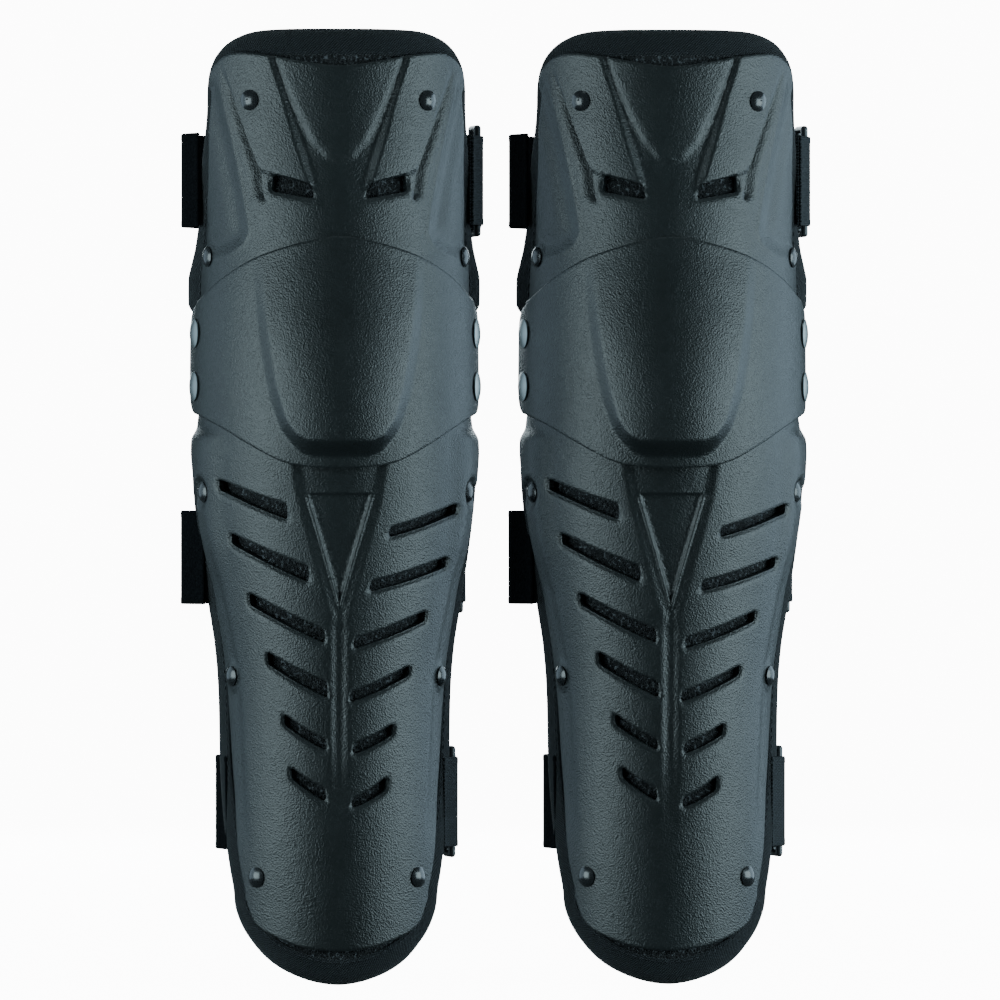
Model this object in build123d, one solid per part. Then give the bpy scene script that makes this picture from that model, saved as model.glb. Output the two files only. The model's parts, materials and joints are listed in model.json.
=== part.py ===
"""A pair of hinged knee and shin guards: hard thigh, knee and shin plates over a padded liner.

Millimetres. Each guard is drawn in its own frame: X across the leg, front towards -Y, +Z up the leg,
Z = 0 at the liner's bottom edge and Y = 0 on the two hinge axes. The pair then stands side by side,
astride the shared origin.
"""
from math import atan2, cos, degrees, radians, sin, sqrt
import os

from build123d import *

# ---- driving dimensions -------------------------------------------------------------------------
GUARD_SPACING = 168.0      # from one guard's centre line to the other's
LINER_TOP = 484.5          # overall height of a guard
UPPER_PIVOT_Z = 331.0      # thigh plate to knee cup
LOWER_PIVOT_Z = 304.0      # knee cup to shin plate
FLEX = 30.0                # degrees that each pivot can turn

PLATE_WALL = 2.8
CUP_WALL = 3.0
EAR_RADIUS = 10.0          # thigh and shin plate ears, around their pivots
EAR_SEAT = 7.5             # radius of the flat seat in an ear
EAR_RELIEF = 0.4           # taken off the half of an ear that turns forward
CUP_EAR_RADIUS = 14.0
BOSS_RADIUS = 5.5          # inside the knee cup, around each pivot

PIVOT_SHANK = 3.0          # radius
PIVOT_RUNNING = 0.05       # radial clearance in the turning ears
PIVOT_HEAD = 7.5           # radius of the domed hinge head
SEAT_FACE = 65.0           # outer face of the turning ear's seat, from the centre plane
EAR_BACK_FACE = 62.0
EAR_TILT = 13.7            # degrees, how far the knee cup's side leans from the pivot's plane

RIVET_HEAD = 5.2           # radius of the black plate rivets
RIVET_SHANK = 2.0
RIVET_WASHER = 5.0

MESH_WALL = 1.5
LINER_WALL = 8.0           # mesh and foam together
BINDING_WIDTH = 9.0
GAP = 0.35                 # soft parts stand this far off their neighbours

WEBBING = 48.0             # strap width
WEB_T = 1.6
TAB_T = 1.4
RING_BAR = 1.8             # radius of the ring's round bars
RING_REACH = 13.0          # between the ring's two long bars
RING_LEAN = 2.2            # the rear bar stands this far in from the front one
RING_OPENING = 50.0
RING_SLACK = 1.4           # room inside the strap's fold for the ring to swing

# Rows of an elliptical section: height, half width, half depth, foremost point.
THIGH_FORM = [
    (312, 69.6, 71.8, -53.1), (331, 69.6, 71.8, -53.1), (350, 69.7, 71.8, -52.5),
    (379, 70.3, 72.4, -50.9), (409, 72.0, 74.0, -50.0), (442, 77.0, 77.0, -50.0),
    (485, 80.0, 80.0, -50.5),
]
CUP_FORM = [
    (248, 73.6, 76.5, -55.3), (285, 74.2, 77.0, -57.5), (317, 74.2, 77.2, -58.2),
    (350, 73.6, 76.6, -57.2), (392, 72.4, 75.5, -54.0),
]
SHIN_FORM = [
    (5, 56.5, 56.5, -34.0), (55, 59.0, 59.0, -37.5), (105, 58.5, 58.5, -40.0),
    (156, 59.5, 59.5, -42.5), (200, 66.5, 66.5, -45.5), (235, 71.5, 71.5, -48.5),
    (268, 73.0, 73.2, -51.3), (284, 71.3, 72.8, -52.4), (292, 70.1, 72.0, -52.9), (322, 69.8, 72.0, -53.3),
]
LINER_FORM = [
    (-6, 60.0, 80.0, -29.3), (20, 61.6, 80.0, -31.7), (55, 63.4, 80.0, -33.7),
    (105, 61.5, 80.0, -36.2), (156, 61.5, 80.0, -38.7), (200, 66.0, 80.0, -41.7),
    (235, 69.5, 82.0, -44.7), (262, 70.3, 84.0, -47.2), (285, 68.4, 84.0, -48.3),
    (317, 67.2, 84.0, -48.4), (350, 69.0, 84.0, -48.2), (379, 68.9, 80.0, -46.9),
    (409, 69.5, 76.0, -46.0), (442, 73.4, 76.0, -46.0), (492, 76.4, 79.0, -46.5),
]

# Rear edges in the side view: height, Y.
THIGH_REAR = [(331, 12), (350, 9), (378, 2), (409, -5), (442, -13), (480, -17)]
SHIN_REAR = [(5, -26), (55, -12), (105, -5), (156, 0), (200, 1), (250, 3), (270, 7), (290, 11), (304, 12)]
LINER_REAR = [
    (-6, -8), (20, -7), (55, 0), (105, 12), (156, 14), (217, 13), (262, 16), (304, 19), (331, 20),
    (350, 19), (379, 15), (409, 10), (442, -6), (492, -10),
]

# Right halves of the front outlines, across and up.
THIGH_TOP = [(0, 465.6), (20, 468.0), (38, 471.4), (54, 472.6), (63, 466.5), (66.5, 456.0)]
CUP_TOP = [(0, 379.2), (20, 376.0), (42, 369.0), (58, 359.5), (71, 347.5)]
CUP_BOTTOM = [(0, 262.0), (20, 263.3), (32, 266.5), (47.5, 275.0), (58, 281.8), (71, 289.5)]
SHIN_BOTTOM = [(0, 17.3), (17, 19.0), (28, 22.5), (38, 27.2), (43, 32.5), (47, 44.0)]
LINER_BOTTOM = [(0, 0.0), (18, 3.0), (33, 10.5), (43, 21.0), (48.5, 31.5), (53, 50.0)]

# The raised panel on the knee cup: its face, and the outline's corners.
PANEL_FORM = [
    (248, 72.0, 75.0, -58.0), (272, 74.0, 77.0, -65.0), (300, 74.3, 77.2, -64.0),
    (345, 73.8, 76.8, -59.0), (392, 72.2, 75.3, -53.5),
]
PANEL_OUTLINE = [(-39, 366), (-36, 325), (-31, 298), (-21, 271), (21, 271), (31, 298), (36, 325), (39, 366)]

# Vents: outer end, inner end (across, up) and the heights of the opening at both ends.
LEFT_SLOTS = [
    ((-60.3, 254.0), (-26.5, 240.0), 5.8, 8.0), ((-54.5, 226.5), (-15.7, 208.5), 5.8, 8.4),
    ((-45.5, 196.0), (-7.4, 177.0), 6.4, 7.2), ((-36.4, 166.0), (-6.0, 149.8), 6.6, 8.2),
    ((-28.0, 135.0), (-6.4, 121.8), 5.8, 5.6), ((-24.4, 108.0), (-6.8, 96.6), 6.0, 6.6),
]
RIGHT_SLOTS = [
    ((60.8, 241.8), (25.5, 229.5), 5.4, 5.0), ((56.0, 214.5), (15.7, 202.2), 5.6, 5.2),
    ((45.0, 187.2), (7.4, 173.4), 5.6, 5.4), ((36.6, 159.6), (5.6, 146.1), 5.4, 5.2),
    ((28.0, 130.0), (7.2, 120.0), 6.0, 5.6), ((24.5, 102.5), (6.6, 92.4), 7.2, 4.8),
]
THIGH_VENT = [(16, 405.7), (38.5, 413.0), (38.5, 400.8), (16, 398.5)]

THIGH_RIVETS = [(45.1, 448.5), (65.3, 370.0)]
SHIN_RIVETS = [(67.6, 250.0), (53.3, 156.5), (41.1, 54.5)]

# Straps: name, middle height, how far the left bend stands out, rearmost point, and whether the
# ring's tab is sewn onto the liner's outside or into its edge.
STRAPS = [
    ("top", 409.5, 78.0, 84.0, "outside"),
    ("mid", 216.8, 78.0, 74.0, "edge"),
    ("low", 91.8, 63.0, 66.0, "outside"),
]


# ---- helpers ------------------------------------------------------------------------------------
def smooth(rows, z):
    """One row of a table at height z, on a cubic curve through the rows."""
    heights = [row[0] for row in rows]
    i = max(0, min(len(rows) - 2, sum(h <= z for h in heights) - 1))

    def slope(k, column):
        low, high = max(k - 1, 0), min(k + 1, len(rows) - 1)
        return (rows[high][column] - rows[low][column]) / (heights[high] - heights[low])

    span = heights[i + 1] - heights[i]
    t = (z - heights[i]) / span
    values = []
    for column in range(1, len(rows[0])):
        start, end = rows[i][column], rows[i + 1][column]
        values.append(
            start * (2 * t**3 - 3 * t**2 + 1) + end * (3 * t**2 - 2 * t**3)
            + span * (slope(i, column) * (t**3 - 2 * t**2 + t) + slope(i + 1, column) * (t**3 - t**2))
        )
    return values


def tube(form, inset=0.0, section_step=20.0):
    """The solid inside a form's ellipses, drawn in by inset."""
    low, high = form[0][0], form[-1][0]
    count = round((high - low) / section_step)
    sections = []
    for i in range(count + 1):
        z = low + (high - low) * i / count
        half_width, half_depth, front = smooth(form, z)
        place = Plane(origin=(0, front + half_depth, z))
        sections.append(place * Ellipse(half_width - inset, half_depth - inset))
    return loft(sections)


def level(form, inset, x, y, z):
    """Below zero inside a form drawn in by inset, above zero outside it."""
    half_width, half_depth, front = smooth(form, z)
    centre = front + half_depth
    return (x / (half_width - inset)) ** 2 + ((y - centre) / (half_depth - inset)) ** 2 - 1


def surface_point(form, x, z):
    """The front surface's point at x and z, and the direction straight out of it."""
    half_width, half_depth, front = smooth(form, z)
    y = front + half_depth - half_depth * sqrt(1 - (x / half_width) ** 2)
    here = level(form, 0, x, y, z)
    step = 0.5
    outward = Vector(*[level(form, 0, x + dx, y + dy, z + dz) - here
                       for dx, dy, dz in ((step, 0, 0), (0, step, 0), (0, 0, step))])
    return Vector(x, y, z), outward.normalized()


def half_width_at(form, y, z):
    """How far a form reaches from the centre plane at y and z."""
    half_width, half_depth, front = smooth(form, z)
    return half_width * sqrt(1 - ((y - front - half_depth) / half_depth) ** 2)


def depth_to(form, inset, point, outward):
    """The distance from point, straight inwards, to a form drawn in by inset."""
    near, far = 0.0, 20.0
    while far - near > 0.01:
        middle = (near + far) / 2
        place = point - outward * middle
        if level(form, inset, place.X, place.Y, place.Z) > 0:
            near = middle
        else:
            far = middle
    return near


def front_prism(outline):
    return extrude(Plane.XZ * outline, amount=120, both=True)


def side_prism(outline):
    return extrude(Plane.YZ * outline, amount=120, both=True)


def mirrored(points):
    """A right half outline, from its left end to its right end."""
    return [(-x, z) for x, z in reversed(points[1:])] + list(points)


def closed(edge_points, far_z, half_width):
    """The area between a smooth edge and the level far_z."""
    edge = Spline(*edge_points)
    (x0, z0), (x1, z1) = edge_points[0], edge_points[-1]
    corners = [(half_width, z1), (half_width, far_z), (-half_width, far_z), (-half_width, z0)]
    return make_face(edge + Polyline((x1, z1), *corners, (x0, z0)))


def ahead_of(rear, low, high, shift=0.0, front=-110.0):
    """The side-view area ahead of a rear edge, from low to high, the edge moved forward by shift."""
    steps = max(4, round((high - low) / 12))
    heights = [low + (high - low) * i / steps for i in range(steps + 1)]
    edge = Spline(*[(smooth(rear, z)[0] - shift, z) for z in heights])
    first, last = edge @ 0, edge @ 1
    rest = Polyline((last.X, last.Y), (front, last.Y), (front, first.Y), (first.X, first.Y))
    return make_face(edge + rest)


def disc(radius, x0, x1, z, side):
    """A cylinder about a pivot axis, from x0 to x1 away from the centre plane."""
    return Plane(origin=(side * x0, 0, z), z_dir=(side, 0, 0)) * extrude(Circle(radius), amount=x1 - x0)


def cap(radius, height):
    """A low dome standing on the XY plane."""
    ball = (radius**2 + height**2) / (2 * height)
    return Pos(0, 0, height - ball) * Sphere(ball) & Pos(0, 0, height / 2) * Cylinder(radius, height)


def joined(solids):
    return Compound(children=[s for part in solids for s in part.solids()])


SIDES = (-1, 1)


# ---- hard plates --------------------------------------------------------------------------------
def turning_ear(plate, outer, pivot_z, inner_way):
    """Gives both sides of a plate a flat ear with a recessed pivot seat.

    inner_way is the way along Z to the other pivot: there the ear is only its flat disc, so that it
    stays inside the knee cup as it turns.
    """
    for side in SIDES:
        plate += disc(EAR_RADIUS, EAR_BACK_FACE, SEAT_FACE + 8, pivot_z, side) & outer
    for side in SIDES:
        plate -= Pos(side * (SEAT_FACE - EAR_RELIEF + 10), 0, pivot_z + inner_way * 10) * Box(20, 30, 20)
        plate -= disc(EAR_SEAT, SEAT_FACE, SEAT_FACE + 10, pivot_z, side)
        plate -= disc(EAR_SEAT, EAR_BACK_FACE - 10, EAR_BACK_FACE, pivot_z, side)
        plate -= disc(PIVOT_SHANK + PIVOT_RUNNING, EAR_BACK_FACE - 5, SEAT_FACE + 10, pivot_z, side)
    return plate


def rivet_holes(form, places):
    holes = []
    for x, z in places:
        for side in SIDES:
            point, outward = surface_point(form, side * x, z)
            holes.append(Plane(origin=point, z_dir=outward) * Cylinder(RIVET_SHANK + 0.1, 30))
    return holes


def slot(outer, inner, outer_height, inner_height):
    """A tapered vent, cut straight through from the front."""
    (x0, z0), (x1, z1) = outer, inner
    corners = [
        (x0, z0 + outer_height / 2), (x1, z1 + inner_height / 2),
        (x1, z1 - inner_height / 2), (x0, z0 - outer_height / 2),
    ]
    face = fillet(make_face(Polyline(*corners, close=True)).vertices(), 1.2)
    return extrude(Plane.XZ * face, amount=80)


def thigh_plate():
    outer = tube(THIGH_FORM)
    profile = ahead_of(THIGH_REAR, UPPER_PIVOT_Z + 3, 480) + Pos(0, UPPER_PIVOT_Z) * Circle(EAR_RADIUS)
    plate = (outer - tube(THIGH_FORM, PLATE_WALL)) & side_prism(profile)
    plate &= front_prism(closed(mirrored(THIGH_TOP), 300, 90))
    plate = turning_ear(plate, outer, UPPER_PIVOT_Z, -1)
    for side in SIDES:
        corners = [(side * x, z) for x, z in THIGH_VENT]
        opening = fillet(make_face(Polyline(*corners, close=True)).vertices(), 1.5)
        plate -= extrude(Plane.XZ * opening, amount=80)
    for hole in rivet_holes(THIGH_FORM, THIGH_RIVETS):
        plate -= hole
    return plate


def shin_plate():
    outer = tube(SHIN_FORM)
    profile = ahead_of(SHIN_REAR, 5, LOWER_PIVOT_Z) + Pos(0, LOWER_PIVOT_Z) * Circle(EAR_RADIUS)
    plate = (outer - tube(SHIN_FORM, PLATE_WALL)) & side_prism(profile)
    plate &= front_prism(closed(mirrored(SHIN_BOTTOM), 330, 90))
    plate = turning_ear(plate, outer, LOWER_PIVOT_Z, 1)
    for row in LEFT_SLOTS + RIGHT_SLOTS:
        plate -= slot(*row)
    for hole in rivet_holes(SHIN_FORM, SHIN_RIVETS):
        plate -= hole
    return plate


def knee_cup():
    shell_outer, shell_inner = tube(CUP_FORM), tube(CUP_FORM, CUP_WALL)
    panel = make_face(Polyline(*PANEL_OUTLINE, close=True))
    panel = front_prism(fillet(panel.vertices(), 6))
    front_half = Pos(0, -60, 320) * Box(200, 120, 200)
    raised = tube(PANEL_FORM) & panel & front_half
    hollow_outline = offset(make_face(Polyline(*PANEL_OUTLINE, close=True)), -CUP_WALL)
    hollow = tube(PANEL_FORM, CUP_WALL) & front_prism(hollow_outline) & front_half
    cup = (shell_outer + raised) - shell_inner - hollow
    middle = (UPPER_PIVOT_Z + LOWER_PIVOT_Z) / 2
    profile = Pos(-60, middle) * Rectangle(120, 160)
    profile += Pos(0, middle) * Rectangle(2 * CUP_EAR_RADIUS, UPPER_PIVOT_Z - LOWER_PIVOT_Z)
    for z in (UPPER_PIVOT_Z, LOWER_PIVOT_Z):
        profile += Pos(0, z) * Circle(CUP_EAR_RADIUS)
    cup &= side_prism(profile)
    cup &= front_prism(closed(mirrored(CUP_TOP), 240, 90))
    cup &= front_prism(closed(mirrored(CUP_BOTTOM), 400, 90))
    for side in SIDES:
        for z in (UPPER_PIVOT_Z, LOWER_PIVOT_Z):
            cup += disc(BOSS_RADIUS, SEAT_FACE + 1.2, SEAT_FACE + 6, z, side) & shell_outer
            cup -= disc(PIVOT_SHANK, SEAT_FACE - 5, SEAT_FACE + 20, z, side)
    return cup


# ---- hinge hardware -----------------------------------------------------------------------------
def hinge_rivet(z, side):
    """A domed head on the knee cup's leaning side, with its shank on the pivot axis."""
    face_x = half_width_at(CUP_FORM, 0, z)
    lean = radians(EAR_TILT)
    seat = Plane(
        origin=(side * (face_x + 0.15), 0, z),
        z_dir=(side * cos(lean), -sin(lean), 0),
    )
    head = seat * (extrude(Circle(PIVOT_HEAD), amount=0.6) + Pos(0, 0, 0.6) * cap(PIVOT_HEAD, 1.3))
    shank = disc(PIVOT_SHANK, EAR_BACK_FACE - 2.3, face_x + 1.0, z, side)
    return head + shank


def hinge_rivets():
    return joined([hinge_rivet(z, side) for z in (UPPER_PIVOT_Z, LOWER_PIVOT_Z) for side in SIDES])


def hinge_rings(radius, x0, x1, bore):
    rings = []
    for z in (UPPER_PIVOT_Z, LOWER_PIVOT_Z):
        for side in SIDES:
            rings.append(disc(radius, x0, x1, z, side) - disc(bore, x0 - 1, x1 + 1, z, side))
    return joined(rings)


# ---- plate rivets -------------------------------------------------------------------------------
def plate_rivets(form, places):
    """Black domed rivets, and the washers that hold the liner's mesh on their tails."""
    rivets, washers, pockets = [], [], []
    for x, z in places:
        for side in SIDES:
            point, outward = surface_point(form, side * x, z)
            back = max(depth_to(LINER_FORM, MESH_WALL, point, outward), PLATE_WALL + 1) + 0.25
            seat = Plane(origin=point + outward * 0.1, z_dir=outward)
            head = extrude(Circle(RIVET_HEAD), amount=0.5) + Pos(0, 0, 0.5) * cap(RIVET_HEAD, 1.9)
            tail_length = back + 1.6
            shank = Pos(0, 0, -tail_length / 2) * Cylinder(RIVET_SHANK, tail_length)
            tail = Pos(0, 0, -tail_length) * Cylinder(RIVET_SHANK + 1, 0.6)
            rivets.append(seat * (head + shank + tail))
            washer = Cylinder(RIVET_WASHER, 0.8) - Cylinder(RIVET_SHANK + 0.05, 2)
            washers.append(seat * Pos(0, 0, -back - 0.7) * washer)
            pockets.append(seat * Pos(0, 0, -back - 1.5) * Cylinder(RIVET_WASHER + 0.8, 3.4))
            pockets.append(seat * Pos(0, 0, -back / 2) * Cylinder(RIVET_SHANK + 0.2, back))
    return joined(rivets), joined(washers), pockets


# ---- liner --------------------------------------------------------------------------------------
def liner_top_outline(inset):
    height = LINER_TOP + 60
    return Pos(0, LINER_TOP - inset - height / 2) * RectangleRounded(2 * (72 - inset), height, 26 - inset)


def liner_bottom_outline(inset):
    shrink = 1 - inset / LINER_BOTTOM[-1][0]
    return closed(mirrored([(x * shrink, z + inset) for x, z in LINER_BOTTOM]), 520, 90)


def wedge(low_z, high_z):
    """The side-view area between two pivots' split lines, clear of the neighbours at full flexion."""
    open_angle = radians(FLEX + 3)
    rear, front = 110.0, -110.0
    rise = rear * sin(open_angle) / cos(open_angle)
    low = [(front, low_z + GAP / 2), (0, low_z + GAP / 2), (rear, low_z + GAP / 2)]
    high = [(rear, high_z - GAP / 2), (0, high_z - GAP / 2), (front, high_z - GAP / 2)]
    if high_z == LOWER_PIVOT_Z:
        high[0] = (rear, high_z - GAP / 2 - rise)
    if low_z == UPPER_PIVOT_Z:
        low[2] = (rear, low_z + GAP / 2 + rise)
    return side_prism(make_face(Polyline(*low, *high, close=True)))


def liner_layers():
    """Mesh, foam and edge binding, each cut at the two pivots."""
    outside, between, inside = (tube(LINER_FORM, inset) for inset in (0, MESH_WALL, LINER_WALL))
    mesh_wall, foam_wall, whole_wall = outside - between, between - inside, outside - inside

    def reach(inset):
        side = side_prism(ahead_of(LINER_REAR, -6, 492, inset))
        return side & front_prism(liner_top_outline(inset)) & front_prism(liner_bottom_outline(inset))

    full, inner, core = reach(0), reach(BINDING_WIDTH), reach(BINDING_WIDTH + GAP)
    ear_room = [disc(EAR_RADIUS + 2, EAR_BACK_FACE - 3, 80, z, side)
                for z in (UPPER_PIVOT_Z, LOWER_PIVOT_Z) for side in SIDES]

    def clear(layer):
        for pocket in ear_room:
            layer -= pocket
        return layer

    layers = {"knee_pad": clear(whole_wall & full & wedge(LOWER_PIVOT_Z, UPPER_PIVOT_Z))}
    for name, half in (("thigh", wedge(UPPER_PIVOT_Z, 520)), ("shin", wedge(-30, LOWER_PIVOT_Z))):
        layers[f"{name}_mesh"] = clear(mesh_wall & core & half)
        layers[f"{name}_foam"] = clear(foam_wall & core & half)
        layers[f"{name}_binding"] = clear((whole_wall & full & half) - inner)
    return layers


# ---- straps -------------------------------------------------------------------------------------
def ribbon(path, thickness, width, z):
    """A flat band that follows a level path."""
    steps = 60
    left, right = [], []
    for i in range(steps + 1):
        point, along = path @ (i / steps), path % (i / steps)
        normal = Vector(-along.Y, along.X, 0) * (thickness / 2)
        left.append(point + normal)
        right.append(point - normal)
    outline = Spline(*left) + Line(left[-1], right[-1]) + Spline(*reversed(right)) + Line(right[0], left[0])
    return Pos(0, 0, z - width / 2) * extrude(make_face(outline), amount=width)


class Strap:
    """One closed strap: its sewn end on the left, its ring on the right, its loop behind the leg."""

    def __init__(self, z, left_reach, rear_y, sewn):
        self.z, self.left_reach, self.rear_y = z, left_reach, rear_y
        edge_y = smooth(LINER_REAR, z)[0]
        ends = (z - WEBBING / 2, z + WEBBING / 2)
        self.edge = Vector(max(half_width_at(LINER_FORM, edge_y, end) for end in ends), edge_y, 0)
        behind_y = edge_y - 7
        behind = Vector(max(half_width_at(LINER_FORM, behind_y, end) for end in ends), behind_y, 0)
        self.along = (self.edge - behind).normalized()
        self.out = Vector(self.along.Y, -self.along.X, 0)
        stand_off = self.out * (TAB_T + 0.4)
        self.left_start = (-behind.X - stand_off.X - 0.4, behind.Y + stand_off.Y)
        self.tab_start = behind + stand_off
        if sewn == "edge":
            deepest = max(smooth(LINER_REAR, z + rise)[0] for rise in (-WEBBING / 2, 0, WEBBING / 2))
            stand_off = self.out * (-LINER_WALL / 2)
            self.tab_start = self.edge + stand_off + self.along * (deepest - edge_y + GAP)
        self.bar_a = self.edge + stand_off + self.along * 5.5
        self.bar_b = self.bar_a + Vector(-RING_LEAN, RING_REACH, 0)

    def tab(self):
        """Doubled webbing sewn to the liner's edge, looped around the ring's front bar."""
        bore = RING_BAR + PIVOT_RUNNING
        loop = Circle(bore + TAB_T)
        angle = degrees(atan2(self.along.Y, self.along.X))
        length = (self.bar_a - self.tab_start).length
        tail = Pos(-length / 2, 0) * Rectangle(length, 2 * TAB_T)
        shape = Pos(self.bar_a.X, self.bar_a.Y) * Rot(0, 0, angle) * (loop + tail - Circle(bore))
        height = RING_OPENING - 4
        return Pos(0, 0, self.z - height / 2) * extrude(shape, amount=height)

    def ring(self):
        """A moulded rectangular ring standing in the tab's loop."""
        half = RING_OPENING / 2
        bars = []
        for bar in (self.bar_a, self.bar_b):
            bars.append(Pos(bar.X, bar.Y, self.z) * Cylinder(RING_BAR, 2 * half + 2 * RING_BAR))
        across = self.bar_b - self.bar_a
        for end in (-1, 1):
            start = self.bar_a + Vector(0, 0, self.z + end * (half + RING_BAR))
            place = Plane(origin=start, z_dir=across.normalized())
            bars.append(place * extrude(Circle(RING_BAR), amount=across.length))
            for bar in (self.bar_a, self.bar_b):
                bars.append(Pos(bar.X, bar.Y, self.z + end * (half + RING_BAR)) * Sphere(RING_BAR))
        body = bars[0]
        for bar in bars[1:]:
            body += bar
        return body

    def rear_run(self, offset, start, stop, count):
        """Points on the loop behind the leg, by turn from the left (-90) to the right (90)."""
        half_width = self.bar_b.X - 5.5 + offset
        centre = self.bar_b.Y + 6
        depth = self.rear_y - centre - WEB_T / 2 + offset
        return [
            (half_width * sin(radians(start + (stop - start) * i / count)),
             centre + depth * cos(radians(start + (stop - start) * i / count)))
            for i in range(count + 1)
        ]

    def band(self):
        """The strap: sewn end, bend, rear loop, fold through the ring and the returning end."""
        fold = RING_BAR + RING_SLACK + WEB_T / 2
        bx, by = self.bar_b.X, self.bar_b.Y
        bend = (-self.left_reach + WEB_T / 2, self.edge.Y + 15)
        into = self.rear_run(0, -62, 76, 8)
        back = self.rear_run(WEB_T + 2.2, 62, -8, 5)
        turn = [(bx - fold * cos(radians(a)), by - fold * sin(radians(a))) for a in (0, 45, 90, 135, 180)]
        leave = (bx + fold - 0.6, by + 9)
        points = [self.left_start, bend, *into, *turn, leave, *back]
        return ribbon(Spline(*points), WEB_T, WEBBING, self.z)

    def hook_patch(self):
        """The hook patch between the returning end and the loop under it."""
        middle = (WEB_T + 2.2) / 2
        return ribbon(Spline(*self.rear_run(middle, -4, 34, 4)), 1.6, WEBBING - 4, self.z)


# ---- one guard ----------------------------------------------------------------------------------
def guard():
    nodes = {"thigh_plate": thigh_plate(), "knee_cup": knee_cup(), "shin_plate": shin_plate()}
    nodes["hinge_rivets"] = hinge_rivets()
    nodes["hinge_spacers"] = hinge_rings(7.2, SEAT_FACE + 0.05, SEAT_FACE + 1.15, PIVOT_SHANK + 0.05)
    nodes["hinge_washers"] = hinge_rings(6.5, EAR_BACK_FACE - 1.5, EAR_BACK_FACE - 0.1, PIVOT_SHANK)
    nodes.update(liner_layers())
    for name, form, places in (("thigh", THIGH_FORM, THIGH_RIVETS), ("shin", SHIN_FORM, SHIN_RIVETS)):
        rivets, washers, pockets = plate_rivets(form, places)
        nodes[f"{name}_rivets"], nodes[f"{name}_rivet_washers"] = rivets, washers
        for layer in (f"{name}_mesh", f"{name}_foam", f"{name}_binding"):
            for pocket in pockets:
                nodes[layer] -= pocket
    for name, *place in STRAPS:
        strap = Strap(*place)
        nodes[f"{name}_strap"] = strap.band()
        nodes[f"{name}_ring"] = strap.ring()
        nodes[f"{name}_ring_tab"] = strap.tab()
        nodes[f"{name}_hook_patch"] = strap.hook_patch()
    return nodes


os.makedirs("parts", exist_ok=True)
one_guard = guard()
for guard_name, guard_x in (("left", -GUARD_SPACING / 2), ("right", GUARD_SPACING / 2)):
    for node, shape in one_guard.items():
        export_step(Pos(guard_x, 0, 0) * shape, f"parts/{guard_name}_{node}.step")
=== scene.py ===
"""A pair of hinged knee and shin guards: moulded plates, padded liner, bindings and straps.

Lengths are millimetres in one guard's own frame (X across the leg, front towards -Y, +Z up the leg,
Y = 0 on the hinge axes) until make_piece puts them in metres beside the CAD model.
"""
import json
import math

import bpy
import numpy as np
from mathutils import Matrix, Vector, geometry

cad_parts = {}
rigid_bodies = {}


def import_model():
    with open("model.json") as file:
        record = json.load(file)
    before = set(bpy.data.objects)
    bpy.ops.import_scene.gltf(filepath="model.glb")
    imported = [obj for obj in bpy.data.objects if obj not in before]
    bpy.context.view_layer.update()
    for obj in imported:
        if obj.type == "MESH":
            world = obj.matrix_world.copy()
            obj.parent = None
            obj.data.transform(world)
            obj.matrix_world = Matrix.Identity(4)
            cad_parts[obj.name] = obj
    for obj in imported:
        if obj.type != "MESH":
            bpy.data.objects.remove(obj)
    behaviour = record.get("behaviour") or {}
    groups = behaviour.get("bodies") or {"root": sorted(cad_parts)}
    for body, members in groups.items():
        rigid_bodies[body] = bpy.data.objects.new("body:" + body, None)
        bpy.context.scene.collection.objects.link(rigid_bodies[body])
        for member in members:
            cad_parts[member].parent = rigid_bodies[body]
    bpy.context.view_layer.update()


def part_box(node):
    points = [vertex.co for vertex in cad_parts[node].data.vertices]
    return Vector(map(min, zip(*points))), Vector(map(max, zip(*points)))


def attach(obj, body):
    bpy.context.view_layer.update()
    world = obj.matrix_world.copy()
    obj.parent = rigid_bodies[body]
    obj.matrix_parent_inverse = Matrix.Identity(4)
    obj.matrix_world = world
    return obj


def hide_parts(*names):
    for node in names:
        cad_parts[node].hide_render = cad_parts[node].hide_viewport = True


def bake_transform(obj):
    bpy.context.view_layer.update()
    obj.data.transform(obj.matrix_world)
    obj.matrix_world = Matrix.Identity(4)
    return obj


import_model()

MM = 0.001
GUARDS = ("left", "right")
CENTRES = {}
for guard in GUARDS:
    low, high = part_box(f"{guard}_thigh_plate")
    CENTRES[guard] = (low[0] + high[0]) / 2

# ---- forms: height, half width, half depth, foremost point ----
THIGH_FORM = [
    (312, 69.6, 71.8, -53.1), (331, 69.6, 71.8, -53.1), (350, 69.7, 71.8, -52.5),
    (379, 70.3, 72.4, -50.9), (409, 72.0, 74.0, -50.0), (442, 77.0, 77.0, -50.0),
    (485, 80.0, 80.0, -50.5),
]
CUP_FORM = [
    (248, 73.6, 76.5, -55.3), (285, 74.2, 77.0, -57.5), (317, 74.2, 77.2, -58.2),
    (350, 73.6, 76.6, -57.2), (392, 72.4, 75.5, -54.0),
]
SHIN_FORM = [
    (5, 56.5, 56.5, -34.0), (55, 59.0, 59.0, -37.5), (105, 58.5, 58.5, -40.0),
    (156, 59.5, 59.5, -42.5), (200, 66.5, 66.5, -45.5), (235, 71.5, 71.5, -48.5),
    (268, 73.0, 73.2, -51.3), (284, 71.3, 72.8, -52.4), (292, 70.1, 72.0, -52.9),
    (322, 69.8, 72.0, -53.3),
]
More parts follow.
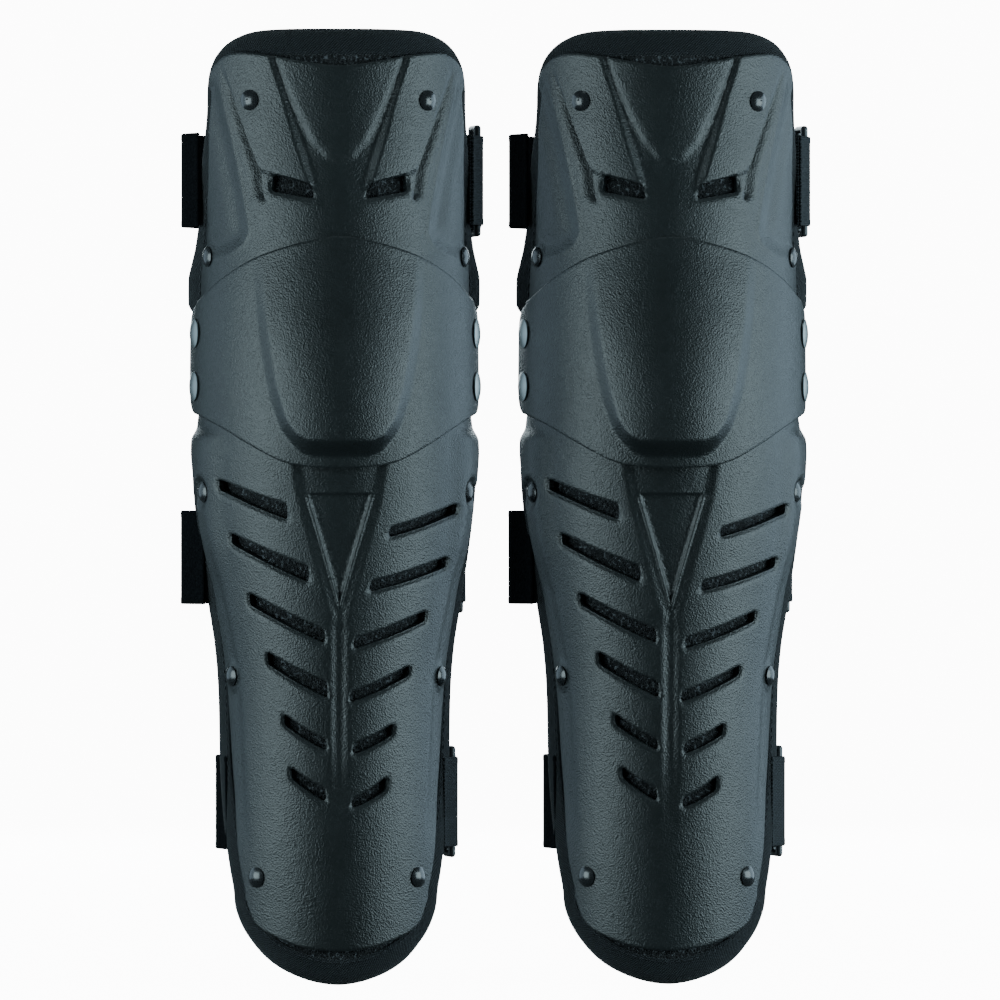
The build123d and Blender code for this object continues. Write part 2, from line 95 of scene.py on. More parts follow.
LINER_FORM = [
    (-6, 60.0, 80.0, -29.3), (20, 61.6, 80.0, -31.7), (55, 63.4, 80.0, -33.7),
    (105, 61.5, 80.0, -36.2), (156, 61.5, 80.0, -38.7), (200, 66.0, 80.0, -41.7),
    (235, 69.5, 82.0, -44.7), (262, 70.3, 84.0, -47.2), (285, 68.4, 84.0, -48.3),
    (317, 67.2, 84.0, -48.4), (350, 69.0, 84.0, -48.2), (379, 68.9, 80.0, -46.9),
    (409, 69.5, 76.0, -46.0), (442, 73.4, 76.0, -46.0), (492, 76.4, 79.0, -46.5),
]
# Rear edges: height and how far back.
THIGH_REAR = [(331, 12), (350, 9), (378, 2), (409, -5), (442, -13), (480, -17)]
SHIN_REAR = [
    (5, -26), (55, -12), (105, -5), (156, 0), (200, 1), (250, 3), (270, 7), (290, 11), (304, 12),
]
LINER_REAR = [
    (-6, -8), (20, -7), (55, 0), (105, 12), (156, 14), (217, 13), (262, 16), (304, 19), (331, 20),
    (350, 19), (379, 15), (409, 10), (442, -6), (492, -10),
]
# How far the liner's edge turns outwards, by height: most above the hinges.
LINER_FLARE = [
    (-6, 0.0), (20, 0.8), (55, 2.5), (105, 2.5), (175, 2.4), (215, 4.0), (262, 5.0), (276, 4.0),
    (287, 1.0), (331, 0.5), (337, 1.5), (345, 7.5), (360, 7.5), (374, 4.5), (392, 2.0), (430, 2.0),
    (470, 2.5), (486, 1.5),
]
UPPER_PIVOT = 331.0
LOWER_PIVOT = 304.0
MIDDLE = (UPPER_PIVOT + LOWER_PIVOT) / 2
LINER_TOP = 484.5
PLATE_WALL = 2.8
CUP_WALL = 3.0
LINER_WALL = 8.0
PLATE_EAR = 10.0       # radius of the ears of the thigh and shin plates
CUP_EAR = 14.0
EAR_SEAT = 65.0        # outer face of an ear, inside the cup
SPREAD = 72.0          # unrolled width of one radian
FINE = 2.1             # spacing of the plates' open surface
CLOSE = 0.42           # least spacing beside edges and creases
RIM_OFFSETS = (-0.5, 0.5, -1.1, 1.1, -1.9, 1.9)
EDGE_DROP = 0.45       # the plates' outer edges fall by this much
EDGE_WIDTH = 1.2       # over this width

# Right halves of front outlines, across and up.
THIGH_TOP = [(0, 465.6), (20, 468.0), (38, 471.4), (54, 472.6), (63, 466.5), (66.5, 456.0)]
CUP_TOP = [(0, 379.2), (20, 376.0), (42, 369.0), (58, 359.5), (71, 347.5)]
CUP_BOTTOM = [(0, 262.0), (20, 263.3), (32, 266.5), (47.5, 275.0), (58, 281.8), (71, 289.5)]
SHIN_BOTTOM = [(0, 17.3), (17, 19.0), (28, 22.5), (38, 27.2), (43, 32.5), (47, 44.0)]
LINER_CORNER = [(64.6, 456), (62.6, 468), (56.5, 477.5), (46, 483), (30, 484.4), (0, LINER_TOP)]
LINER_BOTTOM = [(0, 0.0), (18, 3.0), (33, 10.5), (43, 21.0), (48.5, 31.5), (53, 50.0)]

# Vents of the shin plate: outer end, inner end, and the height of each end.
LEFT_SLOTS = [
    ((-60.3, 254.0), (-26.5, 240.0), 5.8, 8.0), ((-54.5, 226.5), (-15.7, 208.5), 5.8, 8.4),
    ((-45.5, 196.0), (-7.4, 177.0), 6.4, 7.2), ((-36.4, 166.0), (-6.0, 149.8), 6.6, 8.2),
    ((-28.0, 135.0), (-6.4, 121.8), 5.8, 5.6), ((-24.4, 108.0), (-6.8, 96.6), 6.0, 6.6),
]
RIGHT_SLOTS = [
    ((60.8, 241.8), (25.5, 229.5), 5.4, 5.0), ((56.0, 214.5), (15.7, 202.2), 5.6, 5.2),
    ((45.0, 187.2), (7.4, 173.4), 5.6, 5.4), ((36.6, 159.6), (5.6, 146.1), 5.4, 5.2),
    ((28.0, 130.0), (7.2, 120.0), 6.0, 5.6), ((24.5, 102.5), (6.6, 92.4), 7.2, 4.8),
]
THIGH_VENT = [(14.4, 406.0), (33.6, 410.6), (35.0, 402.2), (13.0, 398.2)]
THIGH_RIVETS = [(45.1, 448.5), (65.3, 370.0)]
SHIN_RIVETS = [(67.6, 250.0), (53.3, 156.5), (41.1, 54.5)]

# Features moulded into the plates, right halves where they are the same on both sides.
ARM_OUTER = [(60.5, 474), (57.5, 461), (40.4, 414), (38.6, 399)]
ARM_INNER = [(37.0, 474), (34.5, 466), (24.5, 436), (15.8, 409.5), (13.0, 399)]
U_PANEL = [(0, 416.5), (7, 418.8), (14.3, 427), (24.5, 447), (31.5, 463), (34, 476), (0, 480)]
WING = [
    (61.0, 462), (54.6, 433), (50, 410), (46.3, 390), (45.2, 382), (48.0, 375.5), (55, 370.5),
    (66, 366), (69.2, 372), (71.5, 410), (75, 462),
]
PANEL_FOOT = [
    (0, 267.5), (15, 267.8), (21.5, 270.5), (30, 281), (36, 298), (40, 320), (42.6, 346),
    (43.6, 369), (44, 392),
]
PANEL_RIM = [
    (0, 276.8), (14, 277.0), (19.8, 279.5), (25.6, 288), (31.0, 307), (34.8, 332), (37.6, 356),
    (38.6, 369), (39, 392),
]
PANEL_HEIGHT = [(262, 8.2), (285, 7.3), (300, 6.1), (345, 1.9), (368, 0.3), (392, 0.0)]
INLAY_FOOT = [
    (0, 181), (3.0, 186), (7.2, 196), (21.6, 247), (23.2, 256), (24.2, 262), (24.6, 280), (0, 280),
]
INLAY_RIDGE = [(0, 190.5), (17.3, 250.0), (0, 250.0)]
SHIN_CREASE = [(64.5, 262), (60.5, 222), (52.0, 180), (47.0, 140), (44.5, 90), (41.5, 60)]


# ---- numbers ----
def smooth(rows, z):
    """Rows of a table at heights z, on cubic curves through the rows."""
    table = np.array(rows, float)
    heights, values = table[:, 0], table[:, 1:]
    count = len(heights)
    before = np.maximum(np.arange(count) - 1, 0)
    after = np.minimum(np.arange(count) + 1, count - 1)
    slopes = (values[after] - values[before]) / (heights[after] - heights[before])[:, None]
    z = np.atleast_1d(np.asarray(z, float))
    i = np.clip(np.searchsorted(heights, z, side="right") - 1, 0, count - 2)
    span = (heights[i + 1] - heights[i])[:, None]
    t = (z[:, None] - heights[i][:, None]) / span
    start = values[i] * (2 * t**3 - 3 * t**2 + 1) + values[i + 1] * (3 * t**2 - 2 * t**3)
    bend = slopes[i] * (t**3 - 2 * t**2 + t) + slopes[i + 1] * (t**3 - t**2)
    return start + span * bend


def on_form(form, angle, z, inset=0.0):
    """Points of a form at an angle from its front and a height."""
    half_width, half_depth, front = smooth(form, z).T
    x = (half_width - inset) * np.sin(angle)
    y = front + half_depth - (half_depth - inset) * np.cos(angle)
    return np.stack([x, y, np.asarray(z, float) + 0 * x], -1)


def form_normals(form, angle, z):
    """Directions straight out of a form."""
    across = on_form(form, angle + 0.01, z) - on_form(form, angle - 0.01, z)
    up = on_form(form, angle, z + 0.5) - on_form(form, angle, z - 0.5)
    normal = np.cross(across, up)
    return normal / np.linalg.norm(normal, axis=1)[:, None]


def ease(t):
    """A smooth step from 0 to 1."""
    t = np.clip(t, 0, 1)
    return t * t * (3 - 2 * t)


def unrolled(form, points):
    """Front-view points laid out flat on a form."""
    points = np.array(points, float)
    half_width = smooth(form, points[:, 1])[:, 0]
    angle = np.arcsin(np.clip(points[:, 0] / half_width, -1, 1))
    return np.stack([angle * SPREAD, points[:, 1]], -1)


def side_angle(form, y, z):
    """The angle at which a form reaches back to y."""
    half_width, half_depth, front = smooth(form, z).T
    return np.arccos(np.clip((front + half_depth - y) / half_depth, -1, 1))


def curve(points, step):
    """Evenly spaced points on a smooth curve through the given ones."""
    p = np.array(points, float)
    p = np.vstack([2 * p[0] - p[1], p, 2 * p[-1] - p[-2]])
    dense = []
    for a, b, c, d in zip(p[:-3], p[1:-2], p[2:-1], p[3:]):
        for t in np.linspace(0, 1, 24, endpoint=False):
            dense.append(0.5 * (2 * b + (c - a) * t + (2 * a - 5 * b + 4 * c - d) * t**2
                                + (3 * b - a - 3 * c + d) * t**3))
    dense.append(p[-2])
    return evenly(np.array(dense), step)


def travelled(points):
    """The length of a line up to each of its points."""
    return np.concatenate([[0], np.cumsum(np.linalg.norm(np.diff(points, axis=0), axis=1))])


def evenly(points, step):
    """The same line with evenly spaced points."""
    lengths = travelled(points)
    count = max(2, round(lengths[-1] / step) + 1)
    places = np.linspace(0, lengths[-1], count)
    return np.stack([np.interp(places, lengths, points[:, k]) for k in range(points.shape[1])], -1)


def mirrored(points):
    """A whole outline from its right half, from left to right."""
    points = np.array(points, float)
    return np.vstack([points[:0:-1] * (-1, 1), points])


def both_halves(half):
    """A closed outline from its right half."""
    return np.vstack([half * (-1, 1), half[::-1]])


def whole(form, right_half):
    """A closed outline laid out flat, from its right half in the front view."""
    return both_halves(unrolled(form, right_half))


def distance(points, line, closed=False):
    """The distance of each point from a line."""
    line = np.array(line, float)
    if closed:
        line = np.vstack([line, line[:1]])
    best = np.full(len(points), 1e9)
    for a, b in zip(line[:-1], line[1:]):
        along = b - a
        t = np.clip(((points - a) @ along) / max(along @ along, 1e-9), 0, 1)
        best = np.minimum(best, np.linalg.norm(points - a - t[:, None] * along, axis=1))
    return best


def depth_in(points, polygon):
    """The distance of each point from a closed outline, positive inside it."""
    polygon = np.array(polygon, float)
    inside = np.zeros(len(points), bool)
    for a, b in zip(polygon, np.roll(polygon, -1, axis=0)):
        crosses = (a[1] > points[:, 1]) != (b[1] > points[:, 1])
        rise = b[1] - a[1] if b[1] != a[1] else 1e-9
        inside ^= crosses & (points[:, 0] < a[0] + (points[:, 1] - a[1]) * (b[0] - a[0]) / rise)
    return np.where(inside, 1, -1) * distance(points, polygon, closed=True)


def rounded(corners, radius, steps=4):
    """A closed outline with its corners rounded."""
    corners = np.array(corners, float)
    points = []
    neighbours = zip(np.roll(corners, 1, axis=0), corners, np.roll(corners, -1, axis=0))
    for before, here, after in neighbours:
        start = here + (before - here) * min(0.45, radius / np.linalg.norm(before - here))
        end = here + (after - here) * min(0.45, radius / np.linalg.norm(after - here))
        for t in np.linspace(0, 1, steps + 1):
            points.append(start * (1 - t) ** 2 + 2 * here * t * (1 - t) + end * t**2)
    return np.array(points)


# ---- meshes ----
def add_mesh(name, points, faces):
    """A linked mesh object, from points in metres."""
    mesh = bpy.data.meshes.new(name)
    mesh.from_pydata(np.array(points, float).tolist(), [], [list(map(int, face)) for face in faces])
    piece = bpy.data.objects.new(name, mesh)
    bpy.context.scene.collection.objects.link(piece)
    return piece


def make_piece(name, guard, points, faces, material, body=None, uvs=None):
    """A smooth mesh object of one guard, riding on one of its bodies when one is given."""
    places = np.array(points, float) * MM
    places[:, 0] += CENTRES[guard]
    piece = add_mesh(f"{guard}_{name}", places, faces)
    mesh = piece.data
    mesh.polygons.foreach_set("use_smooth", [True] * len(mesh.polygons))
    if uvs is not None:
        layer = mesh.uv_layers.new(name="UVMap")
        corner = np.empty(len(mesh.loops), int)
        mesh.loops.foreach_get("vertex_index", corner)
        layer.data.foreach_set("uv", np.array(uvs, float)[corner].ravel())
    mesh.materials.append(material)
    if body:
        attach(piece, f"{guard}_{body}")
    return piece


def strip_faces(rows, columns):
    """Quads between rows of points, each row closed round."""
    faces = []
    for i in range(rows - 1):
        here, above = i * columns, (i + 1) * columns
        for j in range(columns):
            k = (j + 1) % columns
            faces.append((here + j, here + k, above + k, above + j))
    return faces


def facing_out(points, faces):
    """The faces of a closed mesh, turned to face outwards."""
    volume = 0.0
    for face in faces:
        a, b, c = points[face[0]], points[face[1]], points[face[2]]
        volume += a @ np.cross(b, c)
        if len(face) == 4:
            volume += a @ np.cross(c, points[face[3]])
    return faces if volume >= 0 else [face[::-1] for face in faces]


def tube(path, across, out, section, places, fold):
    """A closed tube: a section carried along a path, with UVs at the given places round it.

    Each end is closed by faces between the points of the section whose numbers add up to fold.
    """
    rows, columns = len(path), len(section)
    points = path[:, None] + section[:, :1] * across[:, None] + section[:, 1:] * out[:, None]
    points = points.reshape(-1, 3)
    faces = strip_faces(rows, columns)
    last = (rows - 1) * columns
    for j in range(columns // 2):
        end = list(dict.fromkeys((j + 1, j, (fold - j) % columns, (fold - j - 1) % columns)))
        if len(end) > 2:
            faces += [end, [last + v for v in reversed(end)]]
    uvs = [(u * MM, v * MM) for u in travelled(path) for v in places]
    return points, facing_out(points, faces), uvs


def thinned(fixed, groups):
    """Points of several groups, left out where they crowd the fixed ones or those kept before."""
    cell = 3.0
    taken, kept = {}, []
    for points, limit in [(loop, 0) for loop in fixed] + groups:
        for x, y in points:
            column, row = int(x // cell), int(y // cell)
            near = (other for i in (-1, 0, 1) for j in (-1, 0, 1)
                    for other in taken.get((column + i, row + j), ()))
            if all((u - x) ** 2 + (v - y) ** 2 >= limit * limit for u, v in near):
                taken.setdefault((column, row), []).append((x, y))
                if limit:
                    kept.append((x, y))
    return np.array(kept)


def square_to(line):
    """Directions square to a flat line, to its left."""
    along = np.gradient(line, axis=0)
    along /= np.maximum(np.linalg.norm(along, axis=1), 1e-9)[:, None]
    return np.stack([-along[:, 1], along[:, 0]], -1)


def beside(line, offsets, closed=False):
    """Points along both sides of a line."""
    line = np.array(line, float)
    line = evenly(np.vstack([line, line[:1]]) if closed else line, 1.5)
    return np.vstack([line + square_to(line) * offset for offset in offsets])


def ring(points, step):
    """A closed outline, evenly spaced and anticlockwise."""
    points = evenly(np.vstack([points, points[:1]]), step)[:-1]
    after = np.roll(points, -1, axis=0)
    area = (points[:, 0] * after[:, 1] - after[:, 0] * points[:, 1]).sum()
    return points if area > 0 else points[::-1]


def scattered(outline, holes, guides):
    """Points over a flat plate: a regular grid, finer beside its edges and along its creases."""
    low, high = outline.min(axis=0), outline.max(axis=0)
    grid = []
    for row, z in enumerate(np.arange(low[1], high[1], FINE * 0.87)):
        shift = FINE / 2 if row % 2 else 0
        grid += [(s + shift, z) for s in np.arange(low[0], high[0], FINE)]
    fine = [beside(loop, RIM_OFFSETS, closed=True) for loop in holes + [outline]]
    fine += [beside(guide, offsets) for guide, offsets in guides]
    groups = [(points, CLOSE) for points in fine] + [(np.array(grid), FINE * 0.62)]
    points = thinned([outline] + holes, groups)
    keep = depth_in(points, outline) > 0.35
    for hole in holes:
        keep &= depth_in(points, hole) < -0.35
    return points[keep]


def triangulated(outline, holes, points):
    """The flat plate as triangles, through its scattered points and round its edges."""
    points = [Vector(p) for p in points]
    loops = []
    for loop in [outline] + holes:
        loops.append(list(range(len(points), len(points) + len(loop))))
        points += [Vector(p) for p in loop]
    flat, _, triangles, _, _, sources = geometry.delaunay_2d_cdt(points, [], loops, 1, 1e-4)
    faces = [face for face, source in zip(triangles, sources) if list(source) == [0]]
    used = sorted({v for face in faces for v in face})
    renumber = {v: k for k, v in enumerate(used)}
    return np.array([flat[v] for v in used]), [[renumber[v] for v in face] for face in faces]


def shell(form, wall, outline, holes, guides, relief, reshape=None):
    """A moulded plate: outer and inner skins of one form, with relief, joined round every edge."""
    outline = ring(outline, 1.6)
    holes = [ring(hole, 1.2) for hole in holes]
    flat, faces = triangulated(outline, holes, scattered(outline, holes, guides))
    rise = relief(flat) - EDGE_DROP * (1 - ease(depth_in(flat, outline) / EDGE_WIDTH)) ** 2
    for hole in holes:
        rise -= hole_bevel(flat, hole)
    angle, z = flat[:, 0] / SPREAD, flat[:, 1]
    normal = form_normals(form, angle, z)
    outer = on_form(form, angle, z) + normal * rise[:, None]
    inner = outer - normal * wall
    if reshape:
        outer, inner = reshape(outer, 0), reshape(inner, wall)

    count = len(outer)
    a, b, c = (outer[[face[k] for face in faces]] for k in range(3))
    ahead = np.einsum("ij,ij->i", np.cross(b - a, c - a), normal[[face[0] for face in faces]])
    faces = [face if along > 0 else face[::-1] for face, along in zip(faces, ahead)]
    edges = {}
    for face in faces:
        edges.update(dict.fromkeys(zip(face, face[1:] + face[:1])))
    walls = [[end, start, start + count, end + count]
             for start, end in edges if (end, start) not in edges]
    back = [[v + count for v in reversed(face)] for face in faces]
    return np.vstack([outer, inner]), faces + back + walls


def hole_bevel(flat, hole):
    """The rim of a vent: wide and sloping below and outside it, narrow above it."""
    gap = -depth_in(flat, hole)
    lengthways = np.polyfit(hole[:, 0], hole[:, 1], 1)
    below = flat[:, 1] < np.polyval(lengthways, flat[:, 0])
    outside = np.abs(flat[:, 0]) > np.abs(hole[:, 0]).max() - 0.5
    width, depth = np.where(below | outside, np.array([[2.0], [1.0]]), np.array([[1.0], [0.5]]))
    return depth * (1 - ease(gap / width))


def ear_arc(pivot, radius, start, end, form):
    """Part of an ear's outline in the side view, laid out flat, on the right side."""
    turn = np.radians(np.linspace(start, end, 14))
    y, z = radius * np.cos(turn), pivot + radius * np.sin(turn)
    return np.stack([side_angle(form, y, z) * SPREAD, z], -1)


def rear_edge(form, rear, heights):
    """A rear edge laid out flat, on the right side."""
    heights = np.array(heights, float)
    angle = side_angle(form, smooth(rear, heights)[:, 0], heights)
    return np.stack([angle * SPREAD, heights], -1)


def flat_at_rivets(form, places, flat):
    """0 at the plate's rivets, 1 away from them."""
    free = np.ones(len(flat))
    for x, z in unrolled(form, places):
        for side in (-1, 1):
            free *= ease((np.linalg.norm(flat - (side * x, z), axis=1) - 5.0) / 4.0)
    return free


def inside_cup(pivot, way):
    """Keeps an ear's turning half, and its seat, within the knee cup."""
    def reshape(points, inset):
        moved = points.copy()
        up = points[:, 2] - pivot
        radius = np.hypot(points[:, 1], up)
        tucked = (radius < 8.0) | (up * way > -0.5) & (radius < 16)
        limit = EAR_SEAT - inset
        moved[tucked, 0] = np.clip(points[tucked, 0], -limit, limit)
        return moved
    return reshape


# ---- plates ----
def both_sides(form, points, offsets):
    """Guide lines along a crease and its mirror image."""
    line = unrolled(form, points)
    return [(line, offsets), (line * (-1, 1), offsets)]


def thigh_relief(flat):
    """A sunken U with a raised panel in it, two arms beside it with grooves, and sunken wings."""
    outer, inner = unrolled(THIGH_FORM, ARM_OUTER), unrolled(THIGH_FORM, ARM_INNER)
    x, z = np.abs(flat[:, 0]), flat[:, 1]
    half = np.stack([x, z], -1)
    open_below = ease((z - 390) / 30)
    valley = depth_in(flat, both_halves(np.vstack([inner, [(9, 386), (0, 372)]])))
    rise = -2.5 * ease(valley / 2.2) * open_below
    panel = depth_in(flat, whole(THIGH_FORM, U_PANEL))
    rise += 1.25 * ease((panel + 1.2) / 3.4) * open_below
    arm_end = unrolled(THIGH_FORM, [(13.0, 404.4), (39.6, 412.6)])
    arm = depth_in(half, np.vstack([inner[:4], arm_end, outer[2::-1]]))
    rise += 1.5 * ease((452 - z) / 42) * ease((arm + 0.3) / 1.3)
    outside = depth_in(half, np.vstack([outer, [(70, 399), (110, 474)]]))
    groove = distance(half, outer)
    width = 2.4 + 4.0 * ease((462 - z) / 60)
    reach = np.where(outside > 0, 1 - ease(groove / width), 1 - ease(groove / 0.9))
    depth = 0.7 + 1.5 * ease((462 - z) / 35)
    rise -= depth * reach * ease((467 - z) / 8) * ease((z - 394) / 9)
    wing = depth_in(half, unrolled(THIGH_FORM, WING))
    rise -= 1.7 * ease(wing / 8) * (1 - 0.6 * ease((wing - 8) / 10))
    rise += 0.35 * np.exp(-(wing / 0.9) ** 2) * ease((461 - z) / 10) * ease((z - 366) / 6)
    return rise * flat_at_rivets(THIGH_FORM, THIGH_RIVETS, flat)


def plate_outline(form, end, rear, heights, ear):
    """The outline of a plate with one shaped end, its rear edges and an ear on each side."""
    right = np.vstack([rear_edge(form, rear, heights), ear])
    return np.vstack([unrolled(form, curve(mirrored(end), 2)), right, (right * (-1, 1))[::-1]])


def thigh_plate():
    ear = ear_arc(UPPER_PIVOT, PLATE_EAR, 62, -168, THIGH_FORM)
    outline = plate_outline(THIGH_FORM, THIGH_TOP, THIGH_REAR, np.linspace(452, 345, 24), ear)
    vent = rounded(THIGH_VENT, 2.2)
    holes = [unrolled(THIGH_FORM, vent), unrolled(THIGH_FORM, vent * (-1, 1))[::-1]]
    guides = (both_sides(THIGH_FORM, ARM_OUTER, (-3, -1.5, 0, 0.9, 1.8))
              + both_sides(THIGH_FORM, ARM_INNER, (-2.2, -1.1, 0, 1.0, 2.2))
              + both_sides(THIGH_FORM, U_PANEL[:-1], (-2.2, -1.0, 0, 1.1, 2.2))
              + both_sides(THIGH_FORM, WING[:8], (-2.2, -1, 0, 1, 2.2)))
    tuck = inside_cup(UPPER_PIVOT, -1)
    return shell(THIGH_FORM, PLATE_WALL, outline, holes, guides, thigh_relief, tuck)


def between(flat, foot, rim):
    """0 outside the foot of a slope, 1 inside its rim, and even in between."""
    outer, inner = depth_in(flat, foot), depth_in(flat, rim)
    climbed, left = np.clip(outer, 0, None), np.clip(-inner, 0, None)
    part = climbed / np.maximum(climbed + left, 1e-6)
    return np.where(outer <= 0, 0, np.where(inner >= 0, 1, part))


def cup_relief(flat):
    """The raised central panel, highest and most crowned at its lower end."""
    height = np.interp(flat[:, 1], *np.array(PANEL_HEIGHT).T)
    part = between(flat, whole(CUP_FORM, PANEL_FOOT), whole(CUP_FORM, PANEL_RIM))
    crown = 2.2 * (flat[:, 0] / 28) ** 2 * ease((345 - flat[:, 1]) / 60)
    return np.maximum(height - crown, 0) * (0.55 * part + 0.45 * ease(part))


def knee_cup():
    top = unrolled(CUP_FORM, curve(mirrored(CUP_TOP), 2))
    bottom = unrolled(CUP_FORM, curve(mirrored(CUP_BOTTOM), 2))
    ears = np.vstack([ear_arc(UPPER_PIVOT, CUP_EAR, 88, 4, CUP_FORM),
                      ear_arc(LOWER_PIVOT, CUP_EAR, -4, -88, CUP_FORM)])
    outline = np.vstack([top, ears, bottom[::-1], (ears * (-1, 1))[::-1]])
    guides = (both_sides(CUP_FORM, PANEL_FOOT, (-1.2, 0, 1.2))
              + both_sides(CUP_FORM, PANEL_RIM, (-1.2, 0, 1.2)))
    return shell(CUP_FORM, CUP_WALL, outline, [], guides, cup_relief)


def slot_outline(row):
    """A vent of the shin plate: its long edges sag a little towards the middle."""
    (x0, z0), (x1, z1), outer_height, inner_height = row
    across = np.linspace(0, 1, 7)
    sag = 0.9 * np.sin(np.pi * across)
    x = x0 + (x1 - x0) * across
    middle = z0 + (z1 - z0) * across - sag
    half = (outer_height + (inner_height - outer_height) * across) / 2
    above, below = np.stack([x, middle + half], -1), np.stack([x, middle - half], -1)
    return rounded(np.vstack([above, below[::-1]]), 1.7, 3)


def shin_relief(flat):
    """A sunken V with a ridged inlay, a groove below it, and flanks that turn in and swell out."""
    foot, ridge = whole(SHIN_FORM, INLAY_FOOT), whole(SHIN_FORM, INLAY_RIDGE)
    x, z = flat[:, 0], flat[:, 1]
    neck = ease(depth_in(flat, foot) / 4.5)
    rise = -1.7 * np.where(z > 250, neck, between(flat, foot, ridge))
    rise -= 1.0 * ease((depth_in(flat, ridge) - 0.5) / 1.2)
    edge = unrolled(SHIN_FORM, INLAY_RIDGE[:2])
    line = np.minimum(distance(flat, edge), distance(flat, edge * (-1, 1)))
    rise += 1.0 * np.exp(-(line / 0.75) ** 2) * ease((250 - z) / 3)
    groove = np.exp(-(x / 3.9) ** 4) * ease((192 - z) / 14) * ease((z - 60) / 45)
    rise -= 1.5 * groove * (0.35 + 0.65 * ease((z - 92) / 40))
    crease = unrolled(SHIN_FORM, SHIN_CREASE)
    side = np.abs(x) - np.interp(z, crease[::-1, 1], crease[::-1, 0])
    rise -= 1.1 * ease(side / 9) * ease((262 - z) / 40) * ease((z - 60) / 40)
    rise += 2.6 * ease((np.abs(x) - 64) / 20) * ease((z - 195) / 35) * ease((284 - z) / 8)
    return rise * flat_at_rivets(SHIN_FORM, SHIN_RIVETS, flat)


def shin_plate():
    ear = ear_arc(LOWER_PIVOT, PLATE_EAR, -62, 168, SHIN_FORM)
    outline = plate_outline(SHIN_FORM, SHIN_BOTTOM, SHIN_REAR, np.linspace(47, 291, 40), ear)
    holes = [unrolled(SHIN_FORM, slot_outline(row)) for row in LEFT_SLOTS + RIGHT_SLOTS]
    inlay_top = unrolled(SHIN_FORM, [(-17.3, 250), (17.3, 250)])
    guides = (both_sides(SHIN_FORM, INLAY_FOOT[:6], (-1.5, 0, 1.5))
              + both_sides(SHIN_FORM, INLAY_RIDGE[:2], (-1.6, -0.9, -0.4, 0, 0.4, 0.9, 1.6))
              + [(inlay_top, (-2.0, -1.2, -0.5, 0, 0.6))])
    tuck = inside_cup(LOWER_PIVOT, 1)
    return shell(SHIN_FORM, PLATE_WALL, outline, holes, guides, shin_relief, tuck)


# ---- liner ----
SPLIT = 0.2            # each half stops this far from the middle of the hinges
BEND = 14              # how far above and below a pivot a bend would reach; nothing bends the soft goods
# Name, lowest and highest height, far body, pivot, reach of the bend, nodes the liner stands for.
HALVES = [
    ("upper", MIDDLE + SPLIT, 600, "thigh", UPPER_PIVOT, BEND,
     ("thigh_mesh", "thigh_foam", "knee_pad")),
    ("lower", -10, MIDDLE - SPLIT, "shin", LOWER_PIVOT, -BEND, ("shin_mesh", "shin_foam")),
]
PAD_VOXEL = 4.0
PAD_PRESSURE = 4.0
PAD_STEPS = 20
PAD_SWELL = 2.2        # the pads puff up by no more than this
CHANNELS_UP = (-52, -26, 0, 26, 52)
CHANNELS_ACROSS = (60, 112, 164, 216, 268, 366, 412, 456)


def liner_edge():
    """The right half of the liner's edge, flat, from the bottom's middle to the top's middle."""
    bottom = unrolled(LINER_FORM, curve(mirrored(LINER_BOTTOM), 2))
    bottom = bottom[(bottom[:, 0] >= 0) & (bottom[:, 1] < 44)]
    side = rear_edge(LINER_FORM, LINER_REAR, np.arange(bottom[-1, 1] + 3, 448, 3.0))
    corner = unrolled(LINER_FORM, curve(LINER_CORNER, 2))
    edge = evenly(np.vstack([bottom, side, corner]), 2.5)
    for _ in range(6):
        edge[1:-1] = (edge[:-2] + 2 * edge[1:-1] + edge[2:]) / 4
    return edge


EDGE = liner_edge()


def from_edge(flat):
    """How far flat points of the liner are inside its edge, level across."""
    return np.interp(flat[:, 1], EDGE[:, 1], EDGE[:, 0]) - np.abs(flat[:, 0])


def liner_block(low, high, tuck):
    """A plain closed block of the liner between two heights, drawn in by tuck all round."""
    heights = np.linspace(max(low, tuck + 0.4), min(high, LINER_TOP - tuck), 90)
    across = np.linspace(-1, 1, 49)
    reach = np.maximum(np.interp(heights, EDGE[:, 1], EDGE[:, 0]) - tuck, 2.0)
    skins = [on_form(LINER_FORM, across * half / SPREAD, np.full(len(across), z), inset)
             for inset in (tuck, LINER_WALL - tuck) for half, z in zip(reach, heights)]
    rows, columns = len(heights), len(across)
    count = rows * columns
    faces = []
    for i in range(rows - 1):
        for j in range(columns - 1):
            a, d = i * columns + j, (i + 1) * columns + j
            faces += [(a, a + 1, d + 1, d), (d + count, d + 1 + count, a + 1 + count, a + count)]
    for i in range(rows - 1):
        for j, turn in ((0, 1), (columns - 1, -1)):
            a, b = i * columns + j, (i + 1) * columns + j
            faces.append((a, b, b + count, a + count)[::turn])
    for j in range(columns - 1):
        for i, turn in ((0, -1), (rows - 1, 1)):
            a = i * columns + j
            faces.append((a, a + 1, a + 1 + count, a + count)[::turn])
    return np.vstack(skins), faces


def evaluated(piece):
    """The points and faces of an object with its modifiers applied."""
    depsgraph = bpy.context.evaluated_depsgraph_get()
    mesh = bpy.data.meshes.new_from_object(piece.evaluated_get(depsgraph))
    points = np.empty(len(mesh.vertices) * 3)
    mesh.vertices.foreach_get("co", points)
    faces = [tuple(face.vertices) for face in mesh.polygons]
    bpy.data.meshes.remove(mesh)
    return points.reshape(-1, 3), faces


